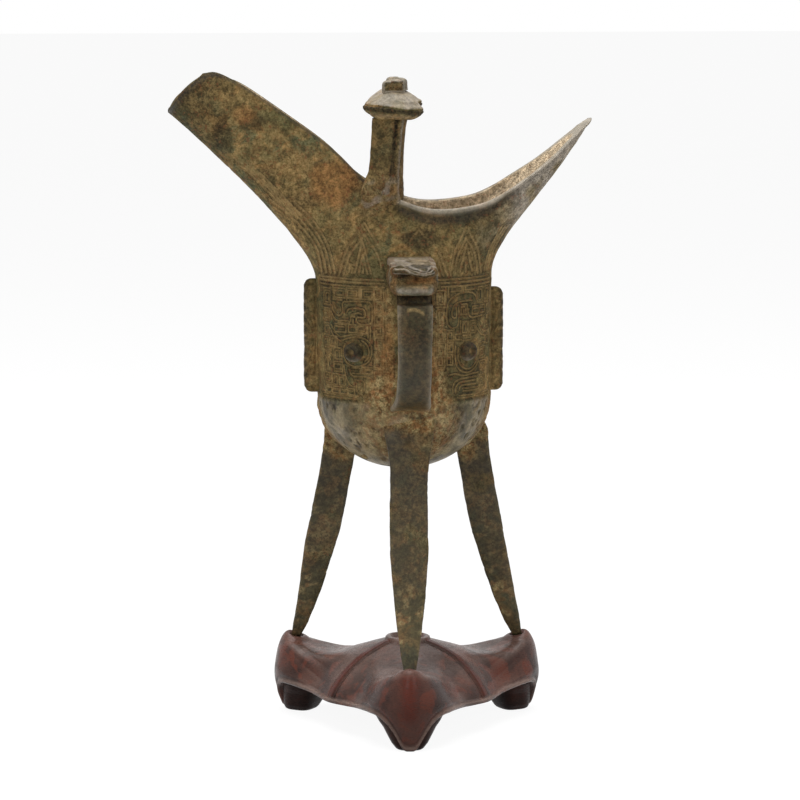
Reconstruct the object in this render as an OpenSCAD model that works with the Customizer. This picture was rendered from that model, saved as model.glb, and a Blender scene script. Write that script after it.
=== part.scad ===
// A ritual wine vessel of the jue form: a cup with a spout and a pointed tail, two capped posts, an
// animal-headed handle and three sabre legs, standing on a carved three-lobed stand of dark wood.
// The spout points along -X, the tail along +X and the handle along -Y.

/* [Bowl] */
// Half length of the bowl at its waist, along the spout line
bowl_half_length = 29.3; // [27:0.1:32]
// Half width of the bowl at its waist, across the spout line
bowl_half_width = 25; // [23:0.1:27]
// Height of the waist, where the bowl meets the flaring neck
waist_z = 150; // [147:0.5:153]
// Height where the belly starts to round under
belly_z = 112; // [108:0.5:115]
// Height of the belly's lowest point
pole_z = 86.5; // [83:0.5:90]
// Thickness of the cast wall
wall_t = 2.6; // [2:0.1:3]
// Thickness of the wall at the rim
rim_t = 1.7; // [1.3:0.1:2]

/* [Spout and tail] */
// Reach of the spout's tip from the bowl's axis
spout_reach = 77.4; // [70:0.5:85]
// Height of the spout's lower lip at its tip
spout_tip_z = 205; // [200:0.5:208]
// Height of the spout's top corner
spout_top_z = 218.8; // [215:0.2:224]
// Half width of the spout's channel
spout_half_width = 14; // [12:0.1:16]
// Reach of the tail's point from the bowl's axis
tail_reach = 62.4; // [56:0.2:68]
// Height of the tail's point
tail_tip_z = 201.5; // [196:0.5:206]
// Length of the solid point at the end of the tail
tail_lip = 8; // [6:0.5:11]
// Lowest height of the rim, beside the posts
rim_low_z = 173.4; // [171:0.2:177]
// Half width of the mouth beside the posts
rim_half_width = 20.8; // [19:0.1:22]

/* [Posts] */
// Distance between the two posts, centre to centre
post_spacing = 39; // [37:0.5:41]
// Place of the posts along the spout line
post_x = -8.6; // [-10:0.1:-6]
// Lean of the posts toward the tail, from foot to cap
post_lean = 1.8; // [0:0.1:2.4]
// Shift of the far post toward the tail
far_post_shift = 4.8; // [0:0.1:5]
// How much lower the far post and its cap sit
far_post_drop = 1.1; // [0:0.1:1.5]
// Width of a post
post_w = 10; // [8.5:0.1:10.5]
// Depth of a post
post_d = 7; // [6:0.1:8]
// Height of a post's outer foot, which hangs down outside the rim
post_foot_z = 175.6; // [174:0.2:177]
// Shift of the near cap and its knob toward the tail, from the top of the post
cap_shift = 1.7; // [0:0.1:2.2]
// Shift of the far knob toward the tail, from the middle of its cap
far_knob_shift = 1.4; // [0:0.1:2]
// Diameter of a cap
cap_d = 19.8; // [16:0.2:21]
// Height of a cap's underside
cap_z = 203.6; // [200:0.2:207]
// Height of a cap, under its knob
cap_h = 9; // [7:0.2:10]
// Width of the knob on a cap
knob_w = 7; // [5:0.1:8]
// Height of the knob on a cap
knob_h = 3.9; // [3:0.1:5]

/* [Handle] */
// Reach of the handle's front from the bowl's axis
handle_reach = 44; // [42:0.2:47]
// Width of the handle's strap
strap_w = 11.3; // [9:0.1:13]
// Thickness of the handle's strap
strap_t = 4.6; // [3.8:0.1:5.4]
// Height of the strap's lower root
strap_low_z = 111.5; // [110:0.2:114]
// Height of the underside of the animal's head
head_z = 146.6; // [145:0.2:148.5]
// Height of the animal's head
head_h = 12.2; // [11:0.2:14]
// Width of the animal's head
head_w = 16; // [14:0.2:18]
// Turn of the handle away from straight sideways
handle_turn = 0; // [-3:0.5:3]

/* [Legs] */
// Radius of the circle that the leg tips stand on
leg_tip_r = 43.4; // [42.4:0.2:44.4]
// Turn of the three legs and of the stand away from straight sideways
leg_turn = -4.2; // [-6:0.1:0]
// Shift of the three legs and of the stand toward the tail
leg_shift = 1.4; // [0:0.1:2]
// Width of a leg's outer face
leg_w = 12.3; // [11:0.1:13]
// Depth of a leg, from its outer face to its inner ridge
leg_depth = 9.4; // [8:0.1:10]
// Width of a leg's tip
leg_tip_w = 3.9; // [3.2:0.1:4]
// Inward bend of a leg between its root and its tip
leg_bend = 3.4; // [0:0.2:5]
// Gap between a leg's tip and its seat in the stand
leg_tip_gap = 0.3; // [0.2:0.1:0.5]

/* [Flanges and eyes] */
// How far a flange stands out from the bowl's wall
flange_out = 4.9; // [3:0.1:5.4]
// Thickness of a flange
flange_t = 2.8; // [2.2:0.1:3.4]
// Height of a flange's lower end
flange_low_z = 112; // [110:0.5:115]
// Length of the flanges under the tail and at the back
flange_h = 34.6; // [32:0.2:38]
// Length of the flange under the spout
spout_flange_h = 37.8; // [34:0.2:38]
// Diameter of an eye
eye_d = 6.6; // [5:0.1:8]
// Angle of an eye from the middle of its mask
eye_turn = 41; // [36:0.5:46]
// Turn of the masks away from straight sideways
mask_turn = 2; // [0:0.5:3]
// Height of the eyes
eye_z = 127.2; // [124:0.2:130]
// Diameter of the dimple in an eye
eye_dimple_d = 1.6; // [1:0.1:2.4]

/* [Stand] */
// Radius of the stand's lobes at their widest
lobe_r = 50.8; // [49.6:0.2:52]
// Radius of the stand between its lobes, at the skirt's edge
bay_r = 30.8; // [28:0.2:33]
// Height of the skirt's edge between the lobes
skirt_z = 8.7; // [8:0.1:9.5]
// Height of the stand's centre
stand_h = 28.2; // [27.5:0.1:29.5]
// Height of the lobes' tops, under the sockets
lobe_z = 24.4; // [24:0.1:24.6]
// Height of the boss in the centre
boss_h = 1.2; // [1:0.1:2]
// Diameter of the boss in the centre
boss_d = 15.4; // [12:0.2:17]
// Width of a foot where it stands
foot_w = 9.6; // [8:0.1:11]
// Outer diameter of a leg's socket
socket_d = 6.8; // [6.6:0.1:7.4]
// Height of a socket's collar above its seat
socket_h = 1.2; // [0.8:0.1:1.6]
// Thickness of a socket's collar
socket_wall = 0.9; // [0.7:0.1:1.1]
// Width of a raised rib on the stand's top
rib_w = 2.4; // [1.8:0.1:3]

/* [Hidden] */

bronze = "#6f6644";
dark_bronze = "#565043";
wood = "#4a2f28";

// Steps of the wall's mesh, from the spout round to the tail and from the waist up to the rim
column_count = 28;
row_count = 12;
// Directions of the three legs, of the stand's lobes and of its feet
leg_angles = [-90 + leg_turn, 150 + leg_turn, 30 + leg_turn];
// Profiles of the stand's top as [share of the radius, share of the height], between lobes and on one
bay_line = [[0, 1], [0.195, 0.987], [0.325, 0.94], [0.455, 0.86], [0.585, 0.76], [0.715, 0.615],
    [0.83, 0.44], [0.915, 0.27], [0.975, 0.11], [1, 0]];
lobe_line = [[0, 1], [0.12, 0.99], [0.24, 0.9], [0.38, 0.77], [0.52, 0.66], [0.66, 0.67],
    [0.8, 0.77], [0.935, 0.775], [0.995, 0.35], [0.97, 0]];
// How sharply each row of the profiles narrows toward a lobe
lobe_share = [1, 1, 1.1, 1.4, 1.8, 2.4, 3.2, 3.4, 2.5, 2.5];
// The whole is moved so that the origin lies under the middle of its outer box.
shift_x = (spout_reach - tail_reach) / 2;
stand_side = [for (i = [1 : 18]) for (k = [0 : 71]) stand_point(k * 5, i / 18)[1]];
shift_y = (max(-min(stand_side), handle_reach)
    - max(max(stand_side), bowl_half_width + flange_out)) / 2;
// Side of a block larger than the vessel, for cutting
block = 5 * spout_reach;

// Small helpers
function mix(a, b, f) = a + (b - a) * f;
function clamp(v) = min(1, max(0, v));
function ease(f) = clamp(f) * clamp(f) * (3 - 2 * clamp(f));
function round_end(q) = sqrt(1 - pow(1 - clamp(q), 2));
function bezier(p, u) = pow(1 - u, 3) * p[0] + 3 * u * pow(1 - u, 2) * p[1]
    + 3 * u * u * (1 - u) * p[2] + u * u * u * p[3];
function spline(p, i, u) = let(
        a = p[max(0, i - 1)], b = p[i], c = p[i + 1], d = p[min(len(p) - 1, i + 2)]
    ) ((2 * b) + (c - a) * u + (2 * a - 5 * b + 4 * c - d) * u * u
    + (3 * b - a - 3 * c + d) * u * u * u) / 2;
function along(p, f) = let(
        g = clamp(f) * (len(p) - 1), i = min(len(p) - 2, floor(g))
    ) spline(p, i, g - i);

// Side view of the neck: the keels under the spout and the tail, as [x, z], o inside the outer face
function spout_keel(o) = let(
        a = bowl_half_length, rise = spout_tip_z - waist_z, run = spout_reach - a
    ) [
        [-a + o, waist_z],
        [-a - 0.012 * run + o, waist_z + 0.175 * rise],
        [-a - 0.482 * run + 0.7 * o, waist_z + 0.586 * rise + 0.7 * o],
        [-spout_reach + 0.7 * o, spout_tip_z + 0.7 * o]
    ];
function tail_keel(o) = let(
        a = bowl_half_length, rise = tail_tip_z - waist_z, run = tail_reach - a,
        lip = o > 0 ? tail_lip : 0
    ) [
        [a - o, waist_z],
        [a - 0.05 * run - o, waist_z + 0.212 * rise],
        [a + 0.5 * run - 0.8 * o - lip * 0.4, waist_z + 0.505 * rise + 0.6 * o],
        [tail_reach - lip, rim_z(tail_reach - lip)]
    ];

// Side view of the rim, from the spout's top corner over the low stretch to the tail's point
spout_corner_x = -0.852 * spout_reach;
rim_line = concat(
    [for (p = [[0.852, 1], [0.8, 0.975], [0.698, 0.9], [0.483, 0.65], [0.31, 0.43], [0.176, 0.205],
            [0.039, 0.075]])
        [-p[0] * spout_reach, mix(rim_low_z, spout_top_z, p[1])]],
    [for (p = [[0.138, 0], [0.4, 0.07], [0.55, 0.25], [0.742, 0.545], [0.859, 0.75], [1, 1]])
        [p[0] * tail_reach, mix(rim_low_z, tail_tip_z, p[1])]]
);
rim_table = [for (i = [0 : 60]) along(rim_line, i / 60)];
function rim_z(x) = lookup(x, rim_table);

// Half width of the wall at a point of the side view
function swap(p) = [p[1], p[0]];
function keel_table(p) = concat(
    [for (i = [0 : 24]) swap(bezier(p, i / 24))],
    [swap(p[3] + 3 * (p[3] - bezier(p, 0.9)))]
);
spout_tables = [keel_table(spout_keel(0)), keel_table(spout_keel(wall_t))];
tail_tables = [keel_table(tail_keel(0)), keel_table(tail_keel(wall_t))];
function mouth_width(x) = x < 0
    ? mix(spout_half_width, rim_half_width, ease((x + 37) / 33))
    : mix(rim_half_width, rim_half_width * 0.48, pow(clamp((x - 14) / (tail_reach - 14)), 1.25));
function half_width(x, z, inner) = let(
        o = inner * mix(wall_t, rim_t, ease((z - waist_z) / 24)),
        up = ease((z - waist_z) / 22),
        body = mix(bowl_half_width, mouth_width(x), up) - o,
        left = x - lookup(z, spout_tables[inner]),
        right = lookup(z, tail_tables[inner]) - x,
        round_left = mix(bowl_half_length - o, 19 - o, ease((z - waist_z) / 20)),
        round_right = mix(bowl_half_length - o, 10 - o, ease((z - waist_z) / 30))
    ) body * round_end(left / round_left) * round_end(right / round_right);

// The neck's side view is a patch between the waist, both keels and the rim.
tip_share = 0.17;
function top_line(s, o) = let(
        tip = spout_keel(o)[3], corner = [spout_corner_x, spout_top_z],
        last = tail_keel(o)[3][0],
        f = (s - tip_share) / (1 - tip_share),
        x = mix(spout_corner_x, last, f * f * mix(1, 0.4, f) + f * (1 - f * mix(1, 0.4, f)))
    ) s < tip_share ? mix(tip, corner, 1 - cos(90 * s / tip_share)) : [x, rim_z(x)];
function waist_line(s, o) = [-(bowl_half_length - o) * cos(180 * s), waist_z];
function patch(s, t, o) = let(
        w = ease(s),
        left = bezier(spout_keel(o), t), right = bezier(tail_keel(o), t),
        low = waist_line(s, o), high = top_line(s, o),
        low_a = waist_line(0, o), low_b = waist_line(1, o),
        high_a = top_line(0, o), high_b = top_line(1, o)
    ) mix(low, high, t) + mix(left, right, w)
    - mix(mix(low_a, low_b, w), mix(high_a, high_b, w), t);
function neck_point(s, t, inner, side) = let(
        p = patch(s, t, inner * wall_t),
        y = s == 0 || s == 1 ? 0 : t == 0
            ? (bowl_half_width - inner * wall_t) * sin(180 * s)
            : half_width(p[0], p[1], inner)
    ) [p[0], side * y, p[1]];

// A closed ring of points round the wall, near side first
function ring(f) = concat(
    [for (i = [0 : column_count]) f(i / column_count, -1)],
    [for (i = [column_count - 1 : -1 : 1]) f(i / column_count, 1)]
);
function flat(rows) = [for (r = rows) for (p = r) p];
function band(i, j, n) = [for (k = [0 : n - 1]) let(l = (k + 1) % n)
    each [[i * n + k, j * n + l, i * n + l], [i * n + k, j * n + k, j * n + l]]];

module neck_shell() {
    n = 2 * column_count;
    outer = [for (r = [0 : row_count]) let(t = pow(r / row_count, 0.9))
        ring(function (s, side) neck_point(s, t, 0, side))];
    inner = [for (r = [row_count : -1 : 0]) let(t = pow(r / row_count, 0.9))
        ring(function (s, side) neck_point(s, t, 1, side))];
    rows = concat(outer, inner);
    polyhedron(flat(rows), [for (r = [0 : len(rows) - 1]) each band(r, (r + 1) % len(rows), n)]);
}

// Radii of the bowl at angle a from its pole, for the face o inside the outer one
function bowl_ring(a, o) = let(
        belly = 0.965,
        f = a <= 90 ? belly * pow(sin(a), 0.92) : mix(belly, 1, (a - 90) / 30),
        z = a <= 90 ? mix(belly_z, pole_z + o, cos(a)) : mix(belly_z, waist_z, (a - 90) / 30)
    ) [(bowl_half_length - o) * f, (bowl_half_width - o) * f, z];
function bowl_points(a, o) = let(r = bowl_ring(a, o)) ring(function (s, side)
    [-r[0] * cos(180 * s), side * r[1] * sin(180 * s), r[2]]);
bowl_steps = [10, 20, 30, 40, 50, 60, 70, 80, 90, 100, 110, 120];
module bowl_skin(o, lid) {
    // A closed solid of the bowl's outer form, for fitting what sits on it
    n = 2 * column_count;
    rows = concat([for (a = bowl_steps) bowl_points(a, o)], lid);
    points = concat(flat(rows), [[0, 0, pole_z + o]]);
    pole = len(points) - 1;
    top = [for (k = [n - 1 : -1 : 0]) (len(rows) - 1) * n + k];
    polyhedron(points, concat(
        [for (r = [0 : len(rows) - 2]) each band(r, r + 1, n)],
        [for (k = [0 : n - 1]) [pole, k, (k + 1) % n]],
        [top]
    ));
}
module bowl_body() {
    n = 2 * column_count;
    steps_in = [for (i = [len(bowl_steps) - 1 : -1 : 0]) bowl_steps[i]];
    rows = concat([for (a = bowl_steps) bowl_points(a, 0)], [for (a = steps_in) bowl_points(a, wall_t)]);
    points = concat(flat(rows), [[0, 0, pole_z], [0, 0, pole_z + wall_t]]);
    last = (len(rows) - 1) * n;
    polyhedron(points, concat(
        [for (r = [0 : len(rows) - 2]) each band(r, r + 1, n)],
        [for (k = [0 : n - 1]) [len(points) - 2, k, (k + 1) % n]],
        [for (k = [0 : n - 1]) [len(points) - 1, last + (k + 1) % n, last + k]]
    ));
}

module place() {
    translate([shift_x, shift_y, 0]) children();
}

// Bronze: the cup
module bowl() color(bronze) place() bowl_body();
module beside_posts(side) translate([post_x + side * block / 2, 0, 0])
    cube([block, block, 2 * block], center = true);
module spout() color(bronze) place() intersection() {
    neck_shell();
    beside_posts(-1);
}
module tail() color(bronze) place() intersection() {
    neck_shell();
    beside_posts(1);
}

// Bronze: posts, caps and knobs, side -1 near the handle and +1 opposite
post_y = post_spacing / 2;
module post_section(grow) {
    w = post_w / 2 + grow;
    d = post_d / 2 + grow * 0.4;
    polygon([[-w * 0.75, -d], [w * 0.75, -d], [w, -d * 0.4],
        [w * 0.6, d], [-w * 0.6, d], [-w, -d * 0.4]]);
}
module post_body() {
    foot_top = rim_z(post_x) + 5;
    slope = post_lean / (cap_z - foot_top);
    multmatrix([[1, 0, slope, -slope * foot_top], [0, 1, 0, 0], [0, 0, 1, 0]])
        translate([0, 0, foot_top]) linear_extrude(cap_z - foot_top) post_section(0);
    hull() {
        translate([0, 0, foot_top - 0.01]) linear_extrude(0.01) post_section(0);
        translate([0, 0, rim_z(post_x) - 0.5]) linear_extrude(2) post_section(1.4);
    }
    translate([0, 0, post_foot_z]) linear_extrude(rim_z(post_x) - post_foot_z) intersection() {
        post_section(1.4);
        translate([-block / 2, -block]) square(block);
    }
}
module post_at(side) {
    far = side > 0 ? 1 : 0;
    translate([post_x + far * far_post_shift, side * post_y, -far * far_post_drop])
        mirror([0, far, 0]) children();
}
// On top of a post, with its own shift toward the tail
module on_post(side, shifts) post_at(side)
    translate([post_lean + shifts[side > 0 ? 1 : 0], 0, cap_z]) children();
module post(side) color(dark_bronze) place() difference() {
    post_at(side) post_body();
    neck_shell();
}
module cap(side) color(bronze) place() on_post(side, [cap_shift, 0]) rotate_extrude($fn = 48)
    polygon(concat(
        [[0, 0], [cap_d / 2 - 3, 0], [cap_d / 2, cap_h * 0.36]],
        [for (a = [0 : 15 : 75]) [(cap_d / 2 - 0.8) * cos(a) + 0.1, cap_h * (0.46 + 0.54 * sin(a))]],
        [[knob_w * 0.2, cap_h], [0, cap_h]]
    ));
module knob(side) color(dark_bronze) place() on_post(side, [cap_shift, far_knob_shift])
    translate([0, 0, cap_h]) linear_extrude(knob_h)
        offset(r = 1, $fn = 24) square(knob_w - 2, center = true);

// Bronze: the handle, drawn in side view from the wall (left) to its front (right)
strap_curve = [
    [handle_reach - 14, head_z + 4], [handle_reach - 5.5, head_z + 1.5], [handle_reach - 1.6, head_z - 5],
    [handle_reach - strap_t / 2, head_z - 14], [handle_reach - 3.4, strap_low_z + 11],
    [handle_reach - 7.6, strap_low_z + 4.4], [handle_reach - 13, strap_low_z + 0.6],
    [bowl_half_width - 3, strap_low_z - 2]
];
function curve_normal(p, f) = let(d = along(p, f + 0.01) - along(p, f - 0.01)) [d[1], -d[0]] / norm(d);
module handle_place() rotate([0, 0, handle_turn]) rotate([90, 0, -90]) children();
module strap_side(n = 40) polygon(concat(
    [for (i = [0 : n]) along(strap_curve, i / n) + curve_normal(strap_curve, i / n) * strap_t / 2],
    [for (i = [n : -1 : 0]) along(strap_curve, i / n) - curve_normal(strap_curve, i / n) * strap_t / 2]
));
module head_body() {
    half = head_w / 2;
    reach = handle_reach;
    rotate([0, 0, handle_turn]) hull() {
        translate([-half, -bowl_half_width - 6, head_z + 1.6]) cube([head_w, 12, head_h - 1.6]);
        translate([-half * 0.92, -reach + 4.5, head_z + head_h * 0.5])
            cube([half * 1.84, 8, head_h * 0.38]);
        translate([-half * 0.7, -reach + 1, head_z + 0.6]) cube([half * 1.4, 9, head_h * 0.4]);
        translate([-half * 0.72, -bowl_half_width - 8, head_z]) cube([half * 1.44, 12, 4]);
    }
}
// The wall's outer form behind the handle and the flanges, up to a height above the waist
neck_fit_h = 14.6;
module wall_solid() {
    bowl_skin(0, []);
    intersection() {
        neck_solid();
        translate([0, 0, waist_z]) linear_extrude(neck_fit_h) square(block, center = true);
    }
}
module neck_solid() {
    n = 2 * column_count;
    rows = [for (r = [0 : row_count]) let(t = pow(r / row_count, 0.9))
        ring(function (s, side) neck_point(s, t, 0, side))];
    across = [for (k = [0 : column_count]) [k, (n - k) % n]];
    polyhedron(flat(rows), concat(
        [for (r = [0 : row_count - 1]) each band(r, r + 1, n)],
        [for (k = [0 : column_count - 1]) let(a = across[k], b = across[k + 1], m = row_count * n)
            each [[m + a[0], m + a[1], m + b[1]], [m + a[0], m + b[1], m + b[0]]]],
        [for (k = [0 : column_count - 1]) let(a = across[k], b = across[k + 1])
            each [[a[0], b[1], a[1]], [a[0], b[0], b[1]]]]
    ));
}
module strap_body() handle_place() translate([0, 0, -strap_w / 2]) linear_extrude(strap_w) strap_side();
module handle_strap() color(dark_bronze) place() difference() {
    strap_body();
    wall_solid();
    head_body();
}
module handle_head() color(dark_bronze) place() difference() {
    head_body();
    wall_solid();
}

// Bronze: a sabre leg, its outer face flat and its inner side a ridge; u runs from the tip up
leg_root_z = belly_z - 6;
function leg_width(u) = mix(leg_tip_w, leg_w, pow(clamp(u / 0.46), 0.75))
    + 2.2 * pow(clamp((u - 0.8) / 0.2), 2);
function leg_depth_at(u) = mix(leg_tip_w * 0.72, leg_depth, pow(clamp(u / 0.46), 0.7));
function leg_reach(u) = let(
        tip = leg_tip_r + leg_tip_w * 0.36, root = bowl_half_width + 0.6,
        bend = (tip + root) / 2 - leg_bend
    ) mix(mix(tip, bend, u), mix(bend, root, u), u);
function leg_section(u) = let(
        w = leg_width(u) / 2, d = leg_depth_at(u), r = leg_reach(u),
        z = mix(lobe_z + leg_tip_gap, leg_root_z, u)
    ) [for (p = [[0, -w], [0, -w * 0.5], [0, 0], [0, w * 0.5], [0, w], [-0.14, w], [-0.86, w * 0.2],
            [-1, 0], [-0.86, -w * 0.2], [-0.14, -w]]) [r + p[0] * d, p[1], z]];
module leg_body() {
    rows = [for (i = [0 : 20]) leg_section(i / 20)];
    n = len(rows[0]);
    ridge = 7;
    fan = [for (k = [0 : n - 1]) if (k != ridge && (k + 1) % n != ridge) [ridge, k, (k + 1) % n]];
    top = (len(rows) - 1) * n;
    polyhedron(flat(rows), concat(
        [for (r = [0 : len(rows) - 2]) each band(r, r + 1, n)],
        fan,
        [for (f = fan) [top + f[0], top + f[2], top + f[1]]]
    ));
}
module leg_place(i) translate([leg_shift, 0, 0]) rotate([0, 0, leg_angles[i]]) children();
module leg(i) color(bronze) place() difference() {
    leg_place(i) leg_body();
    bowl_skin(0, []);
    strap_body();
}

// Bronze: flanges with notches, and the eyes of the two masks
flange_corner_r = 2.4;
module flange_side(h) translate([flange_corner_r, flange_corner_r]) offset(r = flange_corner_r, $fn = 32)
    square([flange_out + 4 - 2 * flange_corner_r, h - 2 * flange_corner_r]);
module flange(angle, reach, h) color(bronze) place() difference() {
    rotate([0, 0, angle]) difference() {
        translate([reach - 4, flange_t / 2, flange_low_z]) rotate([90, 0, 0]) linear_extrude(flange_t)
            flange_side(h);
        for (k = [1 : 9]) for (side = [-1, 1])
            translate([reach + flange_out * 0.55, side * flange_t / 2, flange_low_z + k * h / 10])
                cube([flange_out * 1.2, 1, 0.8], center = true);
    }
    wall_solid();
}
function eye_spot(a) = let(
        r = bowl_ring(90 + 30 * (eye_z - belly_z) / (waist_z - belly_z), 0)
    ) [r[0] * cos(a), r[1] * sin(a), eye_z];
module eye(a) color(dark_bronze) place() difference() {
    translate(eye_spot(a)) intersection() {
        sphere(d = eye_d, $fn = 40);
        rotate([0, 0, a]) translate([-2, -5, -5]) cube([4.2, 10, 10]);
    }
    translate(eye_spot(a)) rotate([0, 0, a]) rotate([0, 90, 0])
        cylinder(d = eye_dimple_d, h = eye_d, $fn = 24);
    bowl_skin(0, []);
}

// Wood: the stand's top, a saddle between three lobes with a skirt round it
function lobe_weight(a, p) = pow((1 + cos(3 * (a - leg_angles[0]))) / 2, p);
function edge_lift(a, f) = 3 * lobe_weight(a, 2) * ease((f - 0.9) / 0.1);
function stand_point(a, f) = let(
        p = lobe_weight(a, along_number(lobe_share, f)),
        b = along(bay_line, f), l = along(lobe_line, f),
        top = mix(stand_h, mix(stand_h, skirt_z + (lobe_z - skirt_z) / 0.775, ease(f / 0.6)), p),
        r = mix(b[0] * bay_r, l[0] * lobe_r, p),
        z = mix(skirt_z, top, mix(b[1], l[1], p)) + edge_lift(a, f)
    ) [r * cos(a), r * sin(a), z];
function along_number(p, f) = let(g = clamp(f) * (len(p) - 1), i = min(len(p) - 2, floor(g)))
    mix(p[i], p[i + 1], g - i);
module stand_solid() {
    n = 72;
    rows = [for (i = [1 : 18]) [for (k = [0 : n - 1]) stand_point(k * 360 / n, i / 18)]];
    points = concat([[0, 0, stand_h]], flat(rows), [[0, 0, skirt_z + 1]]);
    last = 1 + 17 * n;
    translate([leg_shift, 0, 0]) polyhedron(points, concat(
        [for (k = [0 : n - 1]) [0, 1 + (k + 1) % n, 1 + k]],
        [for (r = [0 : 16]) for (k = [0 : n - 1]) let(l = (k + 1) % n, a = 1 + r * n, b = a + n)
            each [[a + k, b + l, b + k], [a + k, a + l, b + l]]],
        [for (k = [0 : n - 1]) [len(points) - 1, last + k, last + (k + 1) % n]]
    ));
}
module stand_top() color(wood) place() difference() {
    stand_solid();
    for (i = [0 : 2]) leg_place(i) translate([leg_tip_r, 0, lobe_z])
        cylinder(d = socket_d, h = 9, $fn = 48);
}
module boss_body() translate([leg_shift, 0, 0]) difference() {
    translate([0, 0, stand_h - 4]) cylinder(d = boss_d, h = boss_h + 4, $fn = 48);
    translate([0, 0, stand_h + boss_h - 0.6]) cylinder(d = boss_d - 3, h = 1, $fn = 48);
}
module stand_boss() color(wood) place() difference() {
    boss_body();
    stand_solid();
}
module rib(angle) color(wood) place() difference() {
    translate([leg_shift, 0, 0]) rotate([0, 0, angle + leg_turn]) rib_body();
    stand_solid();
    boss_body();
}
module rib_body() {
    line = [for (i = [1 : 14]) let(p = along(bay_line, mix(0.2, 0.98, i / 14)))
        [p[0] * bay_r, mix(skirt_z, stand_h, p[1]) + 0.7]];
    rotate([90, 0, 0]) translate([0, 0, -rib_w / 2]) linear_extrude(rib_w)
        polygon(concat(line, [[bay_r - 2, skirt_z + 2], [line[0][0], stand_h - 6]]));
}

// Wood: a foot, broad under the skirt and narrow where it stands
module foot(i) color(wood) place() difference() {
    leg_place(i) foot_body();
    stand_solid();
}
function foot_ring(z, w, r_in, r_out) = let(h = w / 2, n = h * 0.42 + 0.8, m = mix(r_out, r_in, 0.45)) [
    [r_out, -n * 0.6, z], [r_out, n * 0.6, z], [r_out - 1.2, n, z], [m, mix(n, h, 0.55), z],
    [r_in + 1.5, h, z], [r_in, h - 1.5, z], [r_in, -h + 1.5, z], [r_in + 1.5, -h, z],
    [m, mix(-n, -h, 0.55), z], [r_out - 1.2, -n, z]
];
module foot_body() {
    rows = [for (p = [[0, 1, 13.8, 2.2], [2.2, 1.22, 14.6, 2], [4.6, 1.6, 15.6, 1.8], [7, 2, 16.4, 1.5],
            [9, 2.3, 16.8, 1.4], [11.8, 2.4, 17, 1.4]])
        foot_ring(p[0] * (skirt_z + 3) / 11.7, foot_w * p[1], lobe_r - p[2], lobe_r - p[3])];
    n = 10;
    polyhedron(flat(rows), concat(
        [for (r = [0 : len(rows) - 2]) each band(r, r + 1, n)],
        [[for (k = [0 : n - 1]) k]],
        [[for (k = [n - 1 : -1 : 0]) (len(rows) - 1) * n + k]]
    ));
}

// Wood: a socket, the collar round a leg's tip
module socket(i) color(wood) place() leg_place(i) translate([leg_tip_r, 0, lobe_z]) difference() {
    cylinder(d = socket_d, h = socket_h, $fn = 48);
    cylinder(d = socket_d - 2 * socket_wall, h = 3 * socket_h, center = true, $fn = 48);
}

bowl();
spout();
tail();
post(-1);  // post_near
post(1);  // post_far
cap(-1);  // cap_near
cap(1);  // cap_far
knob(-1);  // knob_near
knob(1);  // knob_far
handle_strap();
handle_head();
leg(0);  // leg_front
leg(1);  // leg_spout
leg(2);  // leg_tail
flange(180, bowl_half_length - 1, spout_flange_h);  // flange_spout
flange(0, bowl_half_length - 1, flange_h);  // flange_tail
flange(90, bowl_half_width - 1, flange_h);  // flange_back
eye(-90 + mask_turn - eye_turn);  // eye_near_spout
eye(-90 + mask_turn + eye_turn);  // eye_near_tail
eye(90 + mask_turn + eye_turn);  // eye_far_spout
eye(90 + mask_turn - eye_turn);  // eye_far_tail
stand_top();
stand_boss();
rib(-150);  // rib_near_spout
rib(-30);  // rib_near_tail
rib(90);  // rib_back
foot(0);  // foot_front
foot(1);  // foot_spout
foot(2);  // foot_tail
socket(0);  // socket_front
socket(1);  // socket_spout
socket(2);  // socket_tail
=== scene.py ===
import math
import bpy
import numpy as np
from mathutils import Matrix, Vector


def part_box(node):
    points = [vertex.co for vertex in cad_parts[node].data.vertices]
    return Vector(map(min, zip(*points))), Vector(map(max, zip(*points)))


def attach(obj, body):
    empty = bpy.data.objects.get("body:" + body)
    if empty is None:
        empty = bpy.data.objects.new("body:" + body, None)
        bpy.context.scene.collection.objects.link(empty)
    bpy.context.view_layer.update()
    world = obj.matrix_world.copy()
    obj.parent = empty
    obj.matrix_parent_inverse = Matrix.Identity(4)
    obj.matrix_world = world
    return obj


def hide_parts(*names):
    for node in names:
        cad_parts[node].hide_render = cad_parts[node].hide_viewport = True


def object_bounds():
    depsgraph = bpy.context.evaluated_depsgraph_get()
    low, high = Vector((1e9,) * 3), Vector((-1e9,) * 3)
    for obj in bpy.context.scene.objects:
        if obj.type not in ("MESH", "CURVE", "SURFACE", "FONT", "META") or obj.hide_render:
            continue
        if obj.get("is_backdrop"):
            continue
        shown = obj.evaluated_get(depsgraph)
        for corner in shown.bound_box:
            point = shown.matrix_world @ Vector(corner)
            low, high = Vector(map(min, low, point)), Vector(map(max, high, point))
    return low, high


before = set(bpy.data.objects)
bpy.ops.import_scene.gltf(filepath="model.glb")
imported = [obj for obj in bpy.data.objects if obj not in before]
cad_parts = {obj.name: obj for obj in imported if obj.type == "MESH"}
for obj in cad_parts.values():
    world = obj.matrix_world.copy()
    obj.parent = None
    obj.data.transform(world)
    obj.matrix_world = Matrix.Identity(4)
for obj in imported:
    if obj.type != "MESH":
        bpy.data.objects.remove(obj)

CAD_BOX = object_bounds()
low, high = (np.array(c) * 1000 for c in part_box("bowl"))
AXIS = np.array([(low[0] + high[0]) / 2, (low[1] + high[1]) / 2, 0.0])

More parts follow.
